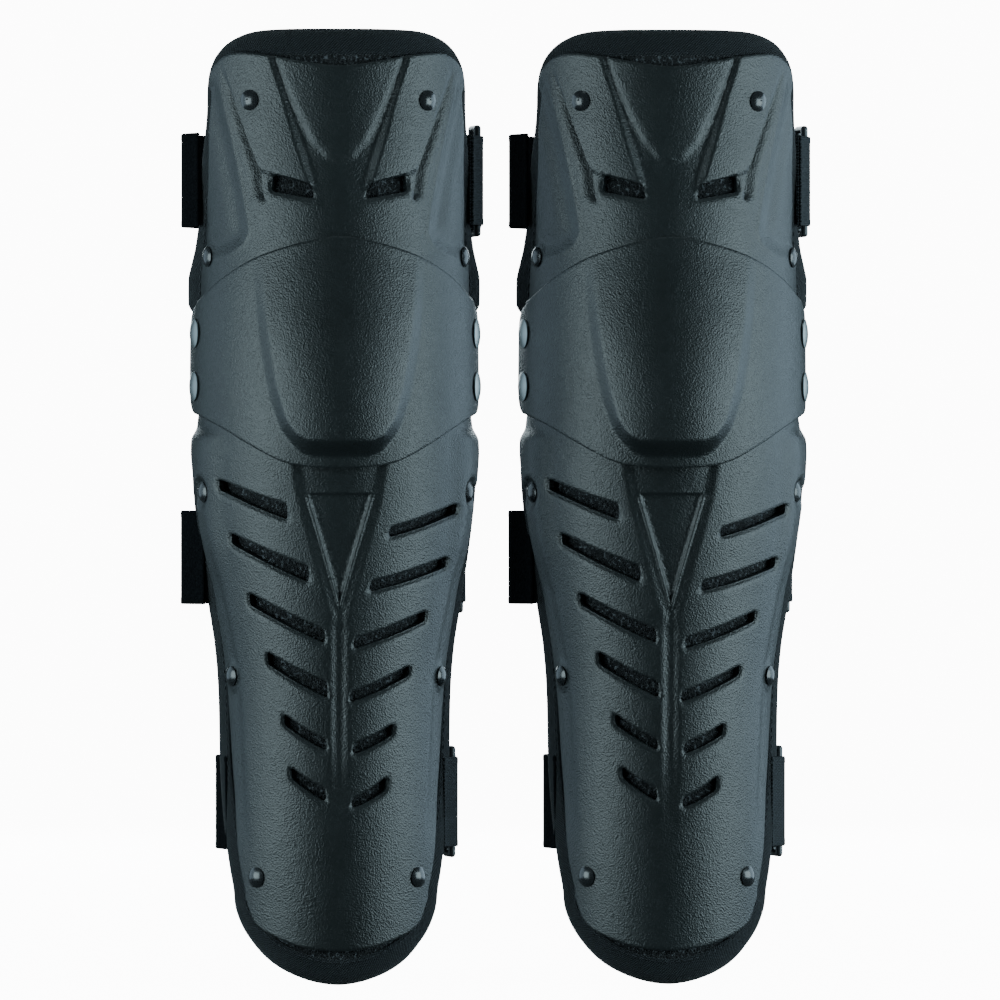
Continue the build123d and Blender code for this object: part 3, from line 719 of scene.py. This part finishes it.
def puffed(points, faces):
    """The block remeshed, inflated as cloth, held near where it was, and subdivided."""
    block = add_mesh("pad_start", np.array(points) * MM, faces)
    remesh = block.modifiers.new("remesh", "REMESH")
    remesh.mode = "VOXEL"
    remesh.voxel_size = PAD_VOXEL * MM
    before, faces = evaluated(block)
    bpy.data.objects.remove(block)
    pad = add_mesh("pad_cloth", before, faces)
    after = before
    cloth = pad.modifiers.new("cloth", "CLOTH")
    cloth.settings.use_pressure = True
    cloth.settings.uniform_pressure_force = PAD_PRESSURE
    cloth.settings.effector_weights.gravity = 0.0
    cloth.settings.quality = 4
    cloth.collision_settings.use_collision = False
    cloth.point_cache.frame_start = 1
    cloth.point_cache.frame_end = PAD_STEPS
    for step in range(1, PAD_STEPS + 1):
        bpy.context.scene.frame_set(step)
    after, _ = evaluated(pad)
    bpy.context.scene.frame_set(1)
    pad.modifiers.clear()
    move = after - before
    length = np.linalg.norm(move, axis=1)
    move *= np.minimum(1, PAD_SWELL * MM / np.maximum(length, 1e-9))[:, None]
    for vertex, place in zip(pad.data.vertices, before + move):
        vertex.co = place
    pad.modifiers.new("finer", "SUBSURF").levels = 1
    points, faces = evaluated(pad)
    bpy.data.objects.remove(pad)
    return points / MM, faces


def skin_place(points):
    """Each liner point's unrolled place, and its depth below the liner's outer form."""
    half_width, half_depth, front = smooth(LINER_FORM, points[:, 2]).T
    x = points[:, 0] / half_width
    y = (front + half_depth - points[:, 1]) / half_depth
    angle = np.arctan2(x, y)
    return np.stack([angle * SPREAD, points[:, 2]], -1), (1 - np.hypot(x, y)) * half_width


def quilted(points):
    """Keeps the liner behind its form and sews channels into the side that meets the leg."""
    flat, depth = skin_place(points)
    normal = form_normals(LINER_FORM, flat[:, 0] / SPREAD, points[:, 2])
    points = points - normal * np.maximum(0.25 - depth, 0)[:, None]
    sewn = np.minimum(np.abs(flat[:, :1] - CHANNELS_UP).min(axis=1),
                      np.abs(flat[:, 1:] - CHANNELS_ACROSS).min(axis=1))
    puff = 1.5 * (1 - np.exp(-(sewn / 7.0) ** 2)) - 1.6 * np.exp(-(sewn / 1.8) ** 2)
    inner = ease((depth - LINER_WALL * 0.6) / 2.0)
    return points - normal * (puff * inner * ease(from_edge(flat) / 8))[:, None]


def flared(points):
    """Soft goods with the liner's edge turned outwards, where it shows beside the plates."""
    moved = np.array(points, float)
    flat, _ = skin_place(moved)
    amount = np.interp(flat[:, 1], *np.array(LINER_FLARE).T) * (1 - ease(from_edge(flat) / 16))
    moved[:, 0] += np.sign(moved[:, 0]) * amount
    return moved


def liner_half(low, high):
    points, faces = puffed(*liner_block(low, high, 1.1))
    return flared(quilted(points)), faces


def roll_section():
    """The cross-section of an edge binding: inwards from the edge, and out of the liner."""
    outside = [(13.5, 4.0), (13.6, 4.6), (12.6, 4.9), (9.0, 5.05), (5.0, 4.9), (2.2, 4.2),
               (0.6, 2.6), (0.0, 0.6)]
    return np.array(outside + [(across, -out) for across, out in outside[::-1]])


def binding(low, high):
    """Woven tape rolled over the liner's edge between two heights, and the stitches along it."""
    half = EDGE[(EDGE[:, 1] >= low) & (EDGE[:, 1] <= high)]
    opposite = half * (-1, 1)
    round_bottom = low <= 0
    path = np.vstack([opposite[:0:-1], half] if round_bottom else [half, opposite[-2::-1]])
    path = evenly(path, 2.2)
    angle, z = path[:, 0] / SPREAD, path[:, 1]
    middle = on_form(LINER_FORM, angle, z, LINER_WALL / 2)
    normal = form_normals(LINER_FORM, angle, z)
    along = np.gradient(middle, axis=0)
    along /= np.linalg.norm(along, axis=1)[:, None]
    inwards = np.cross(normal, along)
    inwards /= np.linalg.norm(inwards, axis=1)[:, None]
    centre = np.array([0, middle[:, 1].mean(), 240 if round_bottom else 400])
    if np.einsum("ij,ij->i", inwards, centre - middle).mean() < 0:
        inwards = -inwards
    section = roll_section()
    points, faces, uvs = tube(middle, inwards, normal, section, travelled(section),
                              len(section) - 1)
    threads, thread_faces = stitch_row(middle, inwards, normal, along, 12.0, 4.95)
    return flared(points), faces, uvs, (flared(threads), thread_faces)


def stitch_row(middle, inwards, normal, along, across, out):
    """Short threads lying on both faces of a binding, in and out of the cloth."""
    points, faces = [], []
    pitch, length, thick, sides = 2, 1.35, 0.28, 4
    bends = ((-1, -0.25), (-0.55, 0.3), (0.55, 0.3), (1, -0.25))
    tube = strip_faces(len(bends), sides) + [(3, 2, 1, 0), (12, 13, 14, 15)]
    for i in range(1, len(middle) - 1, pitch):
        for side in (1, -1):
            centre = middle[i] + inwards[i] * across + normal[i] * (out * side)
            faces += [tuple(len(points) + v for v in face) for face in tube]
            for end, rise in bends:
                spot = centre + along[i] * end * length + normal[i] * rise * side
                for turn in range(sides):
                    a = math.pi * (turn / 2 + 0.25)
                    round_thread = inwards[i] * math.cos(a) + normal[i] * math.sin(a)
                    points.append(spot + thick * round_thread)
    return np.array(points), faces


# ---- straps ----
WEBBING = 48.0         # width of the straps
WEB_T = 1.6
TAB_WIDTH = 46.0
TAB_T = 1.4
RING_BAR = 1.8         # radius of a ring's bars
RING_REACH = 13.0      # from a ring's front bar back to its rear bar
RING_LEAN = 2.2        # and in towards the leg
RING_SLACK = 1.4       # between the rear bar and the strap folded round it
GAP = 0.35             # between the liner's edge and a tab sewn to it
SEWN = 7               # a tab sewn outside reaches this far in front of the edge
PILE_END = -40         # the straps have a pile face on the left of this
# Name, middle height, how far the left bend stands out, rearmost point, body, where it is sewn.
STRAPS = [
    ("top", 409.5, 78.0, 84.0, "thigh", "outside"),
    ("mid", 216.8, 78.0, 74.0, "shin", "edge"),
    ("low", 91.8, 60.5, 66.0, "shin", "outside"),
]


def half_width_at(form, y, z):
    """How far a form reaches sideways at y and one height."""
    half_width, half_depth, front = smooth(form, z)[0]
    return half_width * math.sqrt(1 - ((y - front - half_depth) / half_depth) ** 2)


def strap_routes(z, left_reach, rear_y, sewn):
    """Lines seen from above: the strap from its sewn end through the ring, and the ring's tab."""
    heights = (z - WEBBING / 2, z, z + WEBBING / 2)
    edge_y = smooth(LINER_REAR, z)[0, 0]

    def widest(y):
        """A point of the liner's side, clear of it over the webbing's whole width."""
        return np.array([max(half_width_at(LINER_FORM, y, end) for end in heights[::2]), y])

    edge, behind = widest(edge_y), widest(edge_y - SEWN)
    along = (edge - behind) / np.linalg.norm(edge - behind)
    outwards = np.array([along[1], -along[0]])
    stand_off = outwards * (TAB_T + 0.4)
    left_start = (-behind[0] - stand_off[0] - 0.4, behind[1] + stand_off[1])
    start, lead = behind + stand_off, along * 3
    if sewn == "edge":
        deepest = smooth(LINER_REAR, heights).max()
        stand_off = outwards * (-LINER_WALL / 2)
        start, lead = edge + stand_off + along * (deepest - edge_y + GAP), along * 0.2
    front_bar = edge + stand_off + along * 5.5
    bar = front_bar + (-RING_LEAN, RING_REACH)
    fold = RING_BAR + RING_SLACK + WEB_T / 2

    def rear(offset, first, last, count):
        """Part of the loop behind the leg."""
        half_width = bar[0] - 5.5 + offset
        centre = bar[1] + 6
        depth = rear_y - centre - WEB_T / 2 + offset
        turn = np.radians(np.linspace(first, last, count + 1))
        return list(zip(half_width * np.sin(turn), centre + depth * np.cos(turn)))

    turns = [(bar[0] - fold * math.cos(a), bar[1] - fold * math.sin(a))
             for a in np.radians((0, 45, 90, 135, 180))]
    strap = [left_start, (-left_reach + WEB_T / 2, edge_y + 15), *rear(0, -62, 76, 8), *turns,
             (bar[0] + fold - 0.6, bar[1] + 9), *rear(WEB_T + 2.2, 62, -8, 5)]
    loop = RING_BAR + 0.05 + TAB_T / 2
    heading = math.atan2(along[1], along[0])
    round_bar = [front_bar + loop * np.array([math.cos(heading + a), math.sin(heading + a)])
                 for a in np.radians((-115, -80, -40, 0, 40, 80, 115))]
    out = outwards * TAB_T / 2
    tab = [start + out, start + out + lead, *round_bar, start - out + lead, start - out]
    return curve(strap, 2.0), curve(tab, 0.9)


def woven_band(route, z, width, thickness):
    """A woven band along a level route, with rounded edges and a raised selvedge."""
    half, thick = width / 2, thickness / 2
    side = [(-half, 0), (-half + 0.35, 0.75), (-half + 1.2, 1.0), (-half + 3.0, 1.0),
            (-half + 3.6, 0.82)]
    side += [(v, 0.82) for v in np.linspace(-half + 8, half - 8, 7)]
    side += [(-v, t) for v, t in side[4::-1]]
    section = np.array(side + [(v, -t) for v, t in side[-2:0:-1]]) * (1, thick)
    level = np.zeros(len(route))
    path = np.column_stack([route, level + z])
    up = np.column_stack([level, level, level + 1])
    out = np.column_stack([square_to(route), level])
    return tube(path, up, out, section, section[:, 0], len(section))


# ---- materials ----
class Finish:
    """A material being made, with short calls for adding nodes to it."""

    def __init__(self, name, colour, roughness, metallic=0.0, specular=0.5):
        self.material = bpy.data.materials.new(name)
        self.material.use_nodes = True
        self.nodes = self.material.node_tree.nodes
        self.links = self.material.node_tree.links
        self.shader = self.nodes["Principled BSDF"]
        self.shade({"Base Color": (*colour, 1), "Roughness": roughness, "Metallic": metallic,
                    "Specular IOR Level": specular})
        spots = self.add("ShaderNodeTexCoord").outputs
        self.place, self.uv = spots["Object"], spots["UV"]

    def feed(self, node, inputs):
        for key, value in inputs.items():
            if isinstance(value, bpy.types.NodeSocket):
                self.links.new(value, node.inputs[key])
            else:
                node.inputs[key].default_value = value

    def shade(self, inputs):
        self.feed(self.shader, inputs)

    def add(self, kind, inputs=None, **settings):
        node = self.nodes.new(kind)
        for key, value in settings.items():
            setattr(node, key, value)
        self.feed(node, inputs or {})
        return node

    def math(self, operation, a, b=0.0):
        return self.add("ShaderNodeMath", {0: a, 1: b}, operation=operation).outputs[0]

    def mixed(self, a, a_share, b, b_share):
        """The sum of two values in given shares."""
        parts = [self.math("MULTIPLY", *pair) for pair in ((a, a_share), (b, b_share))]
        return self.math("ADD", *parts)

    def wave(self, value, length):
        return self.math("SINE", self.math("MULTIPLY", value, 2 * math.pi / length))

    def noise(self, scale, detail=4.0, rough=0.55):
        inputs = {"Vector": self.place, "Scale": scale, "Detail": detail, "Roughness": rough}
        return self.add("ShaderNodeTexNoise", inputs).outputs["Fac"]

    def cells(self, scale, feature="F1"):
        inputs = {"Vector": self.place, "Scale": scale}
        return self.add("ShaderNodeTexVoronoi", inputs, feature=feature).outputs["Distance"]

    def ramp(self, value, *stops):
        node = self.add("ShaderNodeValToRGB", {"Fac": value})
        ramp = node.color_ramp
        while len(ramp.elements) < len(stops):
            ramp.elements.new(0.5)
        for element, (place, colour) in zip(ramp.elements, stops):
            element.position = place
            element.color = (*colour, 1)
        return node.outputs["Color"]

    def spread(self, value, low, high):
        node = self.add("ShaderNodeMapRange", {"Value": value, "To Min": low, "To Max": high})
        return node.outputs["Result"]

    def bump(self, height, strength, distance, **under):
        inputs = {"Height": height, "Strength": strength, "Distance": distance, **under}
        return self.add("ShaderNodeBump", inputs).outputs["Normal"]


def shell_plastic():
    """Grained dark plastic with a satin sheen."""
    finish = Finish("grained_plastic", (0.016, 0.021, 0.022), 0.42)
    grain = finish.mixed(finish.cells(1300, "SMOOTH_F1"), 0.9, finish.noise(1000, 3, 0.6), 0.8)
    waves = finish.bump(finish.noise(60, 2), 0.18, 0.0012)
    finish.shade({
        "Base Color": finish.ramp(finish.noise(14, 3), (0.3, (0.0085, 0.0115, 0.012)),
                                  (0.7, (0.012, 0.016, 0.017))),
        "Roughness": finish.spread(finish.noise(55, 5), 0.31, 0.42),
        "Normal": finish.bump(grain, 0.55, 0.00045, Normal=waves),
    })
    return finish.material


def black_lacquer():
    """Glossy black paint on the fixing rivets."""
    finish = Finish("black_lacquer", (0.012, 0.014, 0.016), 0.24)
    finish.shade({
        "Roughness": finish.spread(finish.noise(500, 4), 0.20, 0.34),
        "Normal": finish.bump(finish.noise(300, 3), 0.12, 0.0002),
        "Coat Weight": 0.4, "Coat Roughness": 0.15,
    })
    return finish.material


def rivet_steel():
    """Lightly scratched bright steel."""
    finish = Finish("polished_steel", (0.30, 0.33, 0.33), 0.34, 1.0)
    scratches = finish.noise(420, 6, 0.7)
    finish.shade({"Roughness": finish.spread(scratches, 0.26, 0.46),
                  "Normal": finish.bump(scratches, 0.15, 0.0001)})
    return finish.material


def ring_acetal():
    """Smooth dark moulding."""
    finish = Finish("ring_acetal", (0.030, 0.034, 0.038), 0.34)
    finish.shade({"Normal": finish.bump(finish.noise(700, 3), 0.18, 0.0001)})
    return finish.material


def woven(name, dark, light, pitch, slant, relief):
    """Twill: slanting ribs, each crossed by fine threads, on UVs measured in metres."""
    finish = Finish(name, dark, 0.85, specular=0.12)
    axes = finish.add("ShaderNodeSeparateXYZ", {0: finish.uv}).outputs
    u, v = axes["X"], axes["Y"]
    rib = finish.wave(finish.math("ADD", u, finish.math("MULTIPLY", v, slant)), pitch)
    crossing = finish.math("SUBTRACT", v, finish.math("MULTIPLY", u, slant * 0.4))
    twill = finish.mixed(rib, 0.6, finish.wave(crossing, pitch / 1.6), 0.4)
    height = finish.mixed(twill, 0.42, finish.noise(2500, 3), 0.35)
    finish.shade({
        "Base Color": finish.ramp(finish.math("ADD", height, 0.45), (0.25, dark), (0.95, light)),
        "Normal": finish.bump(height, 0.85, relief),
        "Sheen Weight": 0.1, "Sheen Roughness": 0.5,
    })
    return finish.material


def herringbone():
    """Elastic webbing: zigzag ribs in columns, on UVs measured in metres."""
    finish = Finish("herringbone_elastic", (0.012, 0.014, 0.016), 0.8, specular=0.25)
    axes = finish.add("ShaderNodeSeparateXYZ", {0: finish.uv}).outputs
    u, v = axes["X"], axes["Y"]
    zigzag = finish.math("PINGPONG", finish.math("ADD", v, 0.1), 0.003)
    ribs = finish.mixed(finish.wave(finish.math("ADD", u, zigzag), 0.0016), 0.34,
                        finish.wave(v, 0.0009), 0.12)
    height = finish.mixed(ribs, 1.0, finish.noise(2200, 3), 0.3)
    finish.shade({
        "Base Color": finish.ramp(finish.math("ADD", height, 0.4), (0.2, (0.002, 0.0025, 0.003)),
                                  (0.95, (0.040, 0.047, 0.053))),
        "Normal": finish.bump(height, 0.9, 0.0006),
    })
    return finish.material


def fuzzy(name, dark, light, scale, depth, sheen=0.1):
    """Brushed cloth of short fibres."""
    finish = Finish(name, dark, 0.95, specular=0.06)
    height = finish.mixed(finish.noise(scale, 5, 0.65), 0.7, finish.cells(scale * 0.8), 0.5)
    finish.shade({
        "Base Color": finish.ramp(height, (0.3, dark), (0.85, light)),
        "Normal": finish.bump(height, 0.8, depth),
        "Sheen Weight": sheen, "Sheen Roughness": 0.6,
    })
    return finish.material


def spacer_mesh():
    """Knitted air mesh: open cells with brighter knots between them."""
    finish = Finish("air_mesh", (0.012, 0.014, 0.015), 0.7, specular=0.3)
    yarn = finish.noise(3200, 3)
    height = finish.mixed(yarn, 0.25, finish.cells(720, "DISTANCE_TO_EDGE"), -1.2)
    fleck = finish.mixed(finish.cells(720), 0.72, yarn, 0.40)
    finish.shade({
        "Base Color": finish.ramp(fleck, (0.40, (0.004, 0.005, 0.006)),
                                  (0.68, (0.011, 0.013, 0.014)), (0.84, (0.09, 0.10, 0.11))),
        "Normal": finish.bump(height, 1.0, 0.0012),
    })
    return finish.material


PLASTIC = shell_plastic()
LACQUER = black_lacquer()
STEEL = rivet_steel()
ACETAL = ring_acetal()
TAPE = woven("binding_tape", (0.0015, 0.002, 0.0025), (0.026, 0.031, 0.034), 0.0014, 0.9, 0.0006)
ELASTIC = herringbone()
PILE = fuzzy("loop_pile", (0.0008, 0.001, 0.0014), (0.004, 0.005, 0.006), 900, 0.0007, 0.0)
MESH = spacer_mesh()
LINING = fuzzy("brushed_lining", (0.012, 0.013, 0.014), (0.035, 0.037, 0.040), 700, 0.0006)
THREAD = fuzzy("thread", (0.010, 0.011, 0.013), (0.040, 0.045, 0.050), 3000, 0.0001)
HOOKS = fuzzy("hook_tape", (0.006, 0.007, 0.008), (0.030, 0.033, 0.036), 1500, 0.0008)


def dress(node, material):
    """Gives a CAD piece a detailed material."""
    for place in bpy.data.objects[node].material_slots:
        place.material = material


# ---- assembly ----
def add_plates():
    plates = [("thigh_plate", "thigh", thigh_plate()), ("knee_cup", "knee", knee_cup()),
              ("shin_plate", "shin", shin_plate())]
    for guard in GUARDS:
        for node, body, (points, faces) in plates:
            piece = make_piece(f"{node}_moulded", guard, points, faces, PLASTIC, body)
            piece.data.set_sharp_from_angle(angle=math.radians(55))
            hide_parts(f"{guard}_{node}")


def cross(piece, guard, far, pivot, reach):
    """Bakes the placement of a piece of soft goods into its mesh, without carrying it over the
    pivot.
    """
    x = CENTRES[guard]
    start, end = (x, 0, (pivot - reach) * MM), (x, 0, (pivot + reach) * MM)
    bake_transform(piece)
    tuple(start)
    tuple(end)


def add_liners():
    made = [(half, liner_half(*half[1:3])) for half in HALVES]
    for guard in GUARDS:
        for (name, _, _, far, pivot, reach, nodes), (points, faces) in made:
            piece = make_piece(f"{name}_liner", guard, points, faces, MESH)
            piece.data.materials.append(LINING)
            _, depth = skin_place(np.array([points[list(face)].mean(axis=0) for face in faces]))
            lining = (depth > LINER_WALL * 0.55).astype(int)
            piece.data.polygons.foreach_set("material_index", lining)
            cross(piece, guard, far, pivot, reach)
            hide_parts(*[f"{guard}_{node}" for node in nodes])


def add_bindings():
    made = [(half, binding(*half[1:3])) for half in HALVES]
    for guard in GUARDS:
        for (name, _, _, far, pivot, reach, _), (points, faces, uvs, stitches) in made:
            piece = make_piece(f"{name}_binding", guard, points, faces, TAPE, uvs=uvs)
            cross(piece, guard, far, pivot, reach)
            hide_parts(f"{guard}_{far}_binding")
            threads = make_piece(f"{name}_binding_stitches", guard, *stitches, THREAD)
            cross(threads, guard, far, pivot, reach)


def add_straps():
    for name, z, left_reach, rear_y, body, sewn in STRAPS:
        strap_route, tab_route = strap_routes(z, left_reach, rear_y, sewn)
        points, faces, uvs = woven_band(strap_route, z, WEBBING, WEB_T - 0.2)
        loop_points, loop_faces, loop_uvs = woven_band(tab_route, z, TAB_WIDTH, TAB_T - 0.1)
        pile = np.array([points[list(face), 0].mean() < PILE_END for face in faces]).astype(int)
        for guard in GUARDS:
            piece = make_piece(f"{name}_webbing", guard, points, faces, ELASTIC, body, uvs)
            piece.data.materials.append(PILE)
            piece.data.polygons.foreach_set("material_index", pile)
            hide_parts(f"{guard}_{name}_strap")
            loop = make_piece(f"{name}_ring_loop", guard, loop_points, loop_faces, ELASTIC, body,
                              loop_uvs)
            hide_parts(f"{guard}_{name}_ring_tab")


def dress_hardware():
    for guard in GUARDS:
        for name, *_ in STRAPS:
            dress(f"{guard}_{name}_ring", ACETAL)
            dress(f"{guard}_{name}_hook_patch", HOOKS)
        for node in ("thigh_rivets", "shin_rivets"):
            dress(f"{guard}_{node}", LACQUER)
        for node in ("hinge_rivets", "hinge_washers", "thigh_rivet_washers", "shin_rivet_washers"):
            dress(f"{guard}_{node}", STEEL)


# ---- stage: metres from here on ----
VIEW_TURN = math.radians(3.5)
VIEW_DISTANCE = 5.0
VIEW_HEIGHT = 0.2461
FRAME_WIDTH = 0.5105
SENSOR = 36.0          # millimetres
PAPER_GLOW = 12.0
STAGE_RADIUS = 12.0
STAGE_DROP = 0.0006
STAGE_SIDES = 48
LIT_HEIGHT = 0.27
# Name, place, size, watts, colour.
SOFT_LIGHTS = [
    ("left_soft", (-1.24, -0.66, 0.28), (1.1, 1.0), 19, (0.72, 0.92, 0.98)),
    ("right_soft", (1.24, -0.66, 0.28), (1.1, 1.0), 22, (0.70, 0.91, 0.98)),
    ("back_soft", (0, 2.2, 0.9), (1.6, 1.0), 30, (0.80, 0.94, 1.0)),
    ("top_soft", (0, -0.5, 2.0), (1.2, 0.5), 4, (0.76, 0.95, 1.0)),
]
SIDE_WATTS = {-1: 5.5, 1: 12}
SIDE_PLACE = (1.30, 0.45, 0.4)


def add_camera():
    data = bpy.data.cameras.new("camera")
    data.sensor_width = SENSOR
    data.lens = SENSOR * VIEW_DISTANCE / FRAME_WIDTH
    camera = bpy.data.objects.new("camera", data)
    target = Vector((0, 0, VIEW_HEIGHT))
    back = Vector((math.sin(VIEW_TURN), math.cos(VIEW_TURN), 0))
    camera.location = target - VIEW_DISTANCE * back
    camera.rotation_euler = (target - camera.location).to_track_quat("-Z", "Y").to_euler()
    bpy.context.scene.collection.objects.link(camera)
    bpy.context.scene.camera = camera


def add_surround(name, points, faces, material, shades):
    """A piece of the stage that the camera sees and that throws no light on the guards."""
    piece = add_mesh(name, points, faces)
    piece.data.materials.append(material)
    piece.visible_diffuse = False
    piece.visible_glossy = False
    piece.visible_shadow = shades


def circle(radius, height):
    """Points round a level circle of the stage."""
    turns = np.radians(np.arange(STAGE_SIDES) * 360 / STAGE_SIDES)
    return [(radius * math.cos(a), radius * math.sin(a), height - STAGE_DROP) for a in turns]


def add_stage():
    """A pale floor under a wide dome of the same brightness."""
    paper = Finish("white_paper", (0.9, 0.9, 0.9), 0.9, specular=0.0)
    paper.shade({"Emission Color": (1, 1, 1, 1), "Emission Strength": PAPER_GLOW})
    floor = circle(STAGE_RADIUS, 0)
    add_surround("floor", floor, [range(STAGE_SIDES)], paper.material, True)
    levels = np.radians(np.linspace(0, 90, 13))
    dome = [point for level in levels
            for point in circle(STAGE_RADIUS * math.cos(level), STAGE_RADIUS * math.sin(level))]
    add_surround("dome", dome, strip_faces(len(levels), STAGE_SIDES), paper.material, False)


def add_light(name, place, target, size, power, colour):
    data = bpy.data.lights.new(name, "AREA")
    data.shape = "RECTANGLE"
    data.size, data.size_y = size
    data.energy = power
    data.color = colour
    light = bpy.data.objects.new(name, data)
    light.location = place
    light.rotation_euler = (Vector(target) - Vector(place)).to_track_quat("-Z", "Y").to_euler()
    bpy.context.scene.collection.objects.link(light)
    return light


def add_lights():
    for name, place, size, power, colour in SOFT_LIGHTS:
        add_light(name, place, (0, 0, LIT_HEIGHT), size, power, colour)
    world = bpy.data.worlds.new("world")
    bpy.context.scene.world = world
    world.use_nodes = True
    sky = world.node_tree.nodes["Background"].inputs
    sky["Color"].default_value = (0.74, 0.95, 1.0, 1)
    sky["Strength"].default_value = 0.085


def add_side_lights():
    """Lights each guard from both sides as if it stood alone, without its neighbour's shadow."""
    across, y, z = SIDE_PLACE
    for guard in GUARDS:
        alone = bpy.data.collections.new(f"{guard}_guard")
        for piece in bpy.data.objects:
            if piece.type == "MESH" and piece.name.startswith(guard):
                alone.objects.link(piece)
        x = CENTRES[guard]
        for side, power in SIDE_WATTS.items():
            light = add_light(f"{guard}_side", (x + side * across, y, z), (x, 0, LIT_HEIGHT),
                              (1.2, 1.2), power, (0.62, 0.84, 1.0))
            light.light_linking.receiver_collection = alone
            light.light_linking.blocker_collection = alone


add_camera()
add_stage()
add_lights()
add_plates()
add_liners()
add_bindings()
add_straps()
dress_hardware()
add_side_lights()
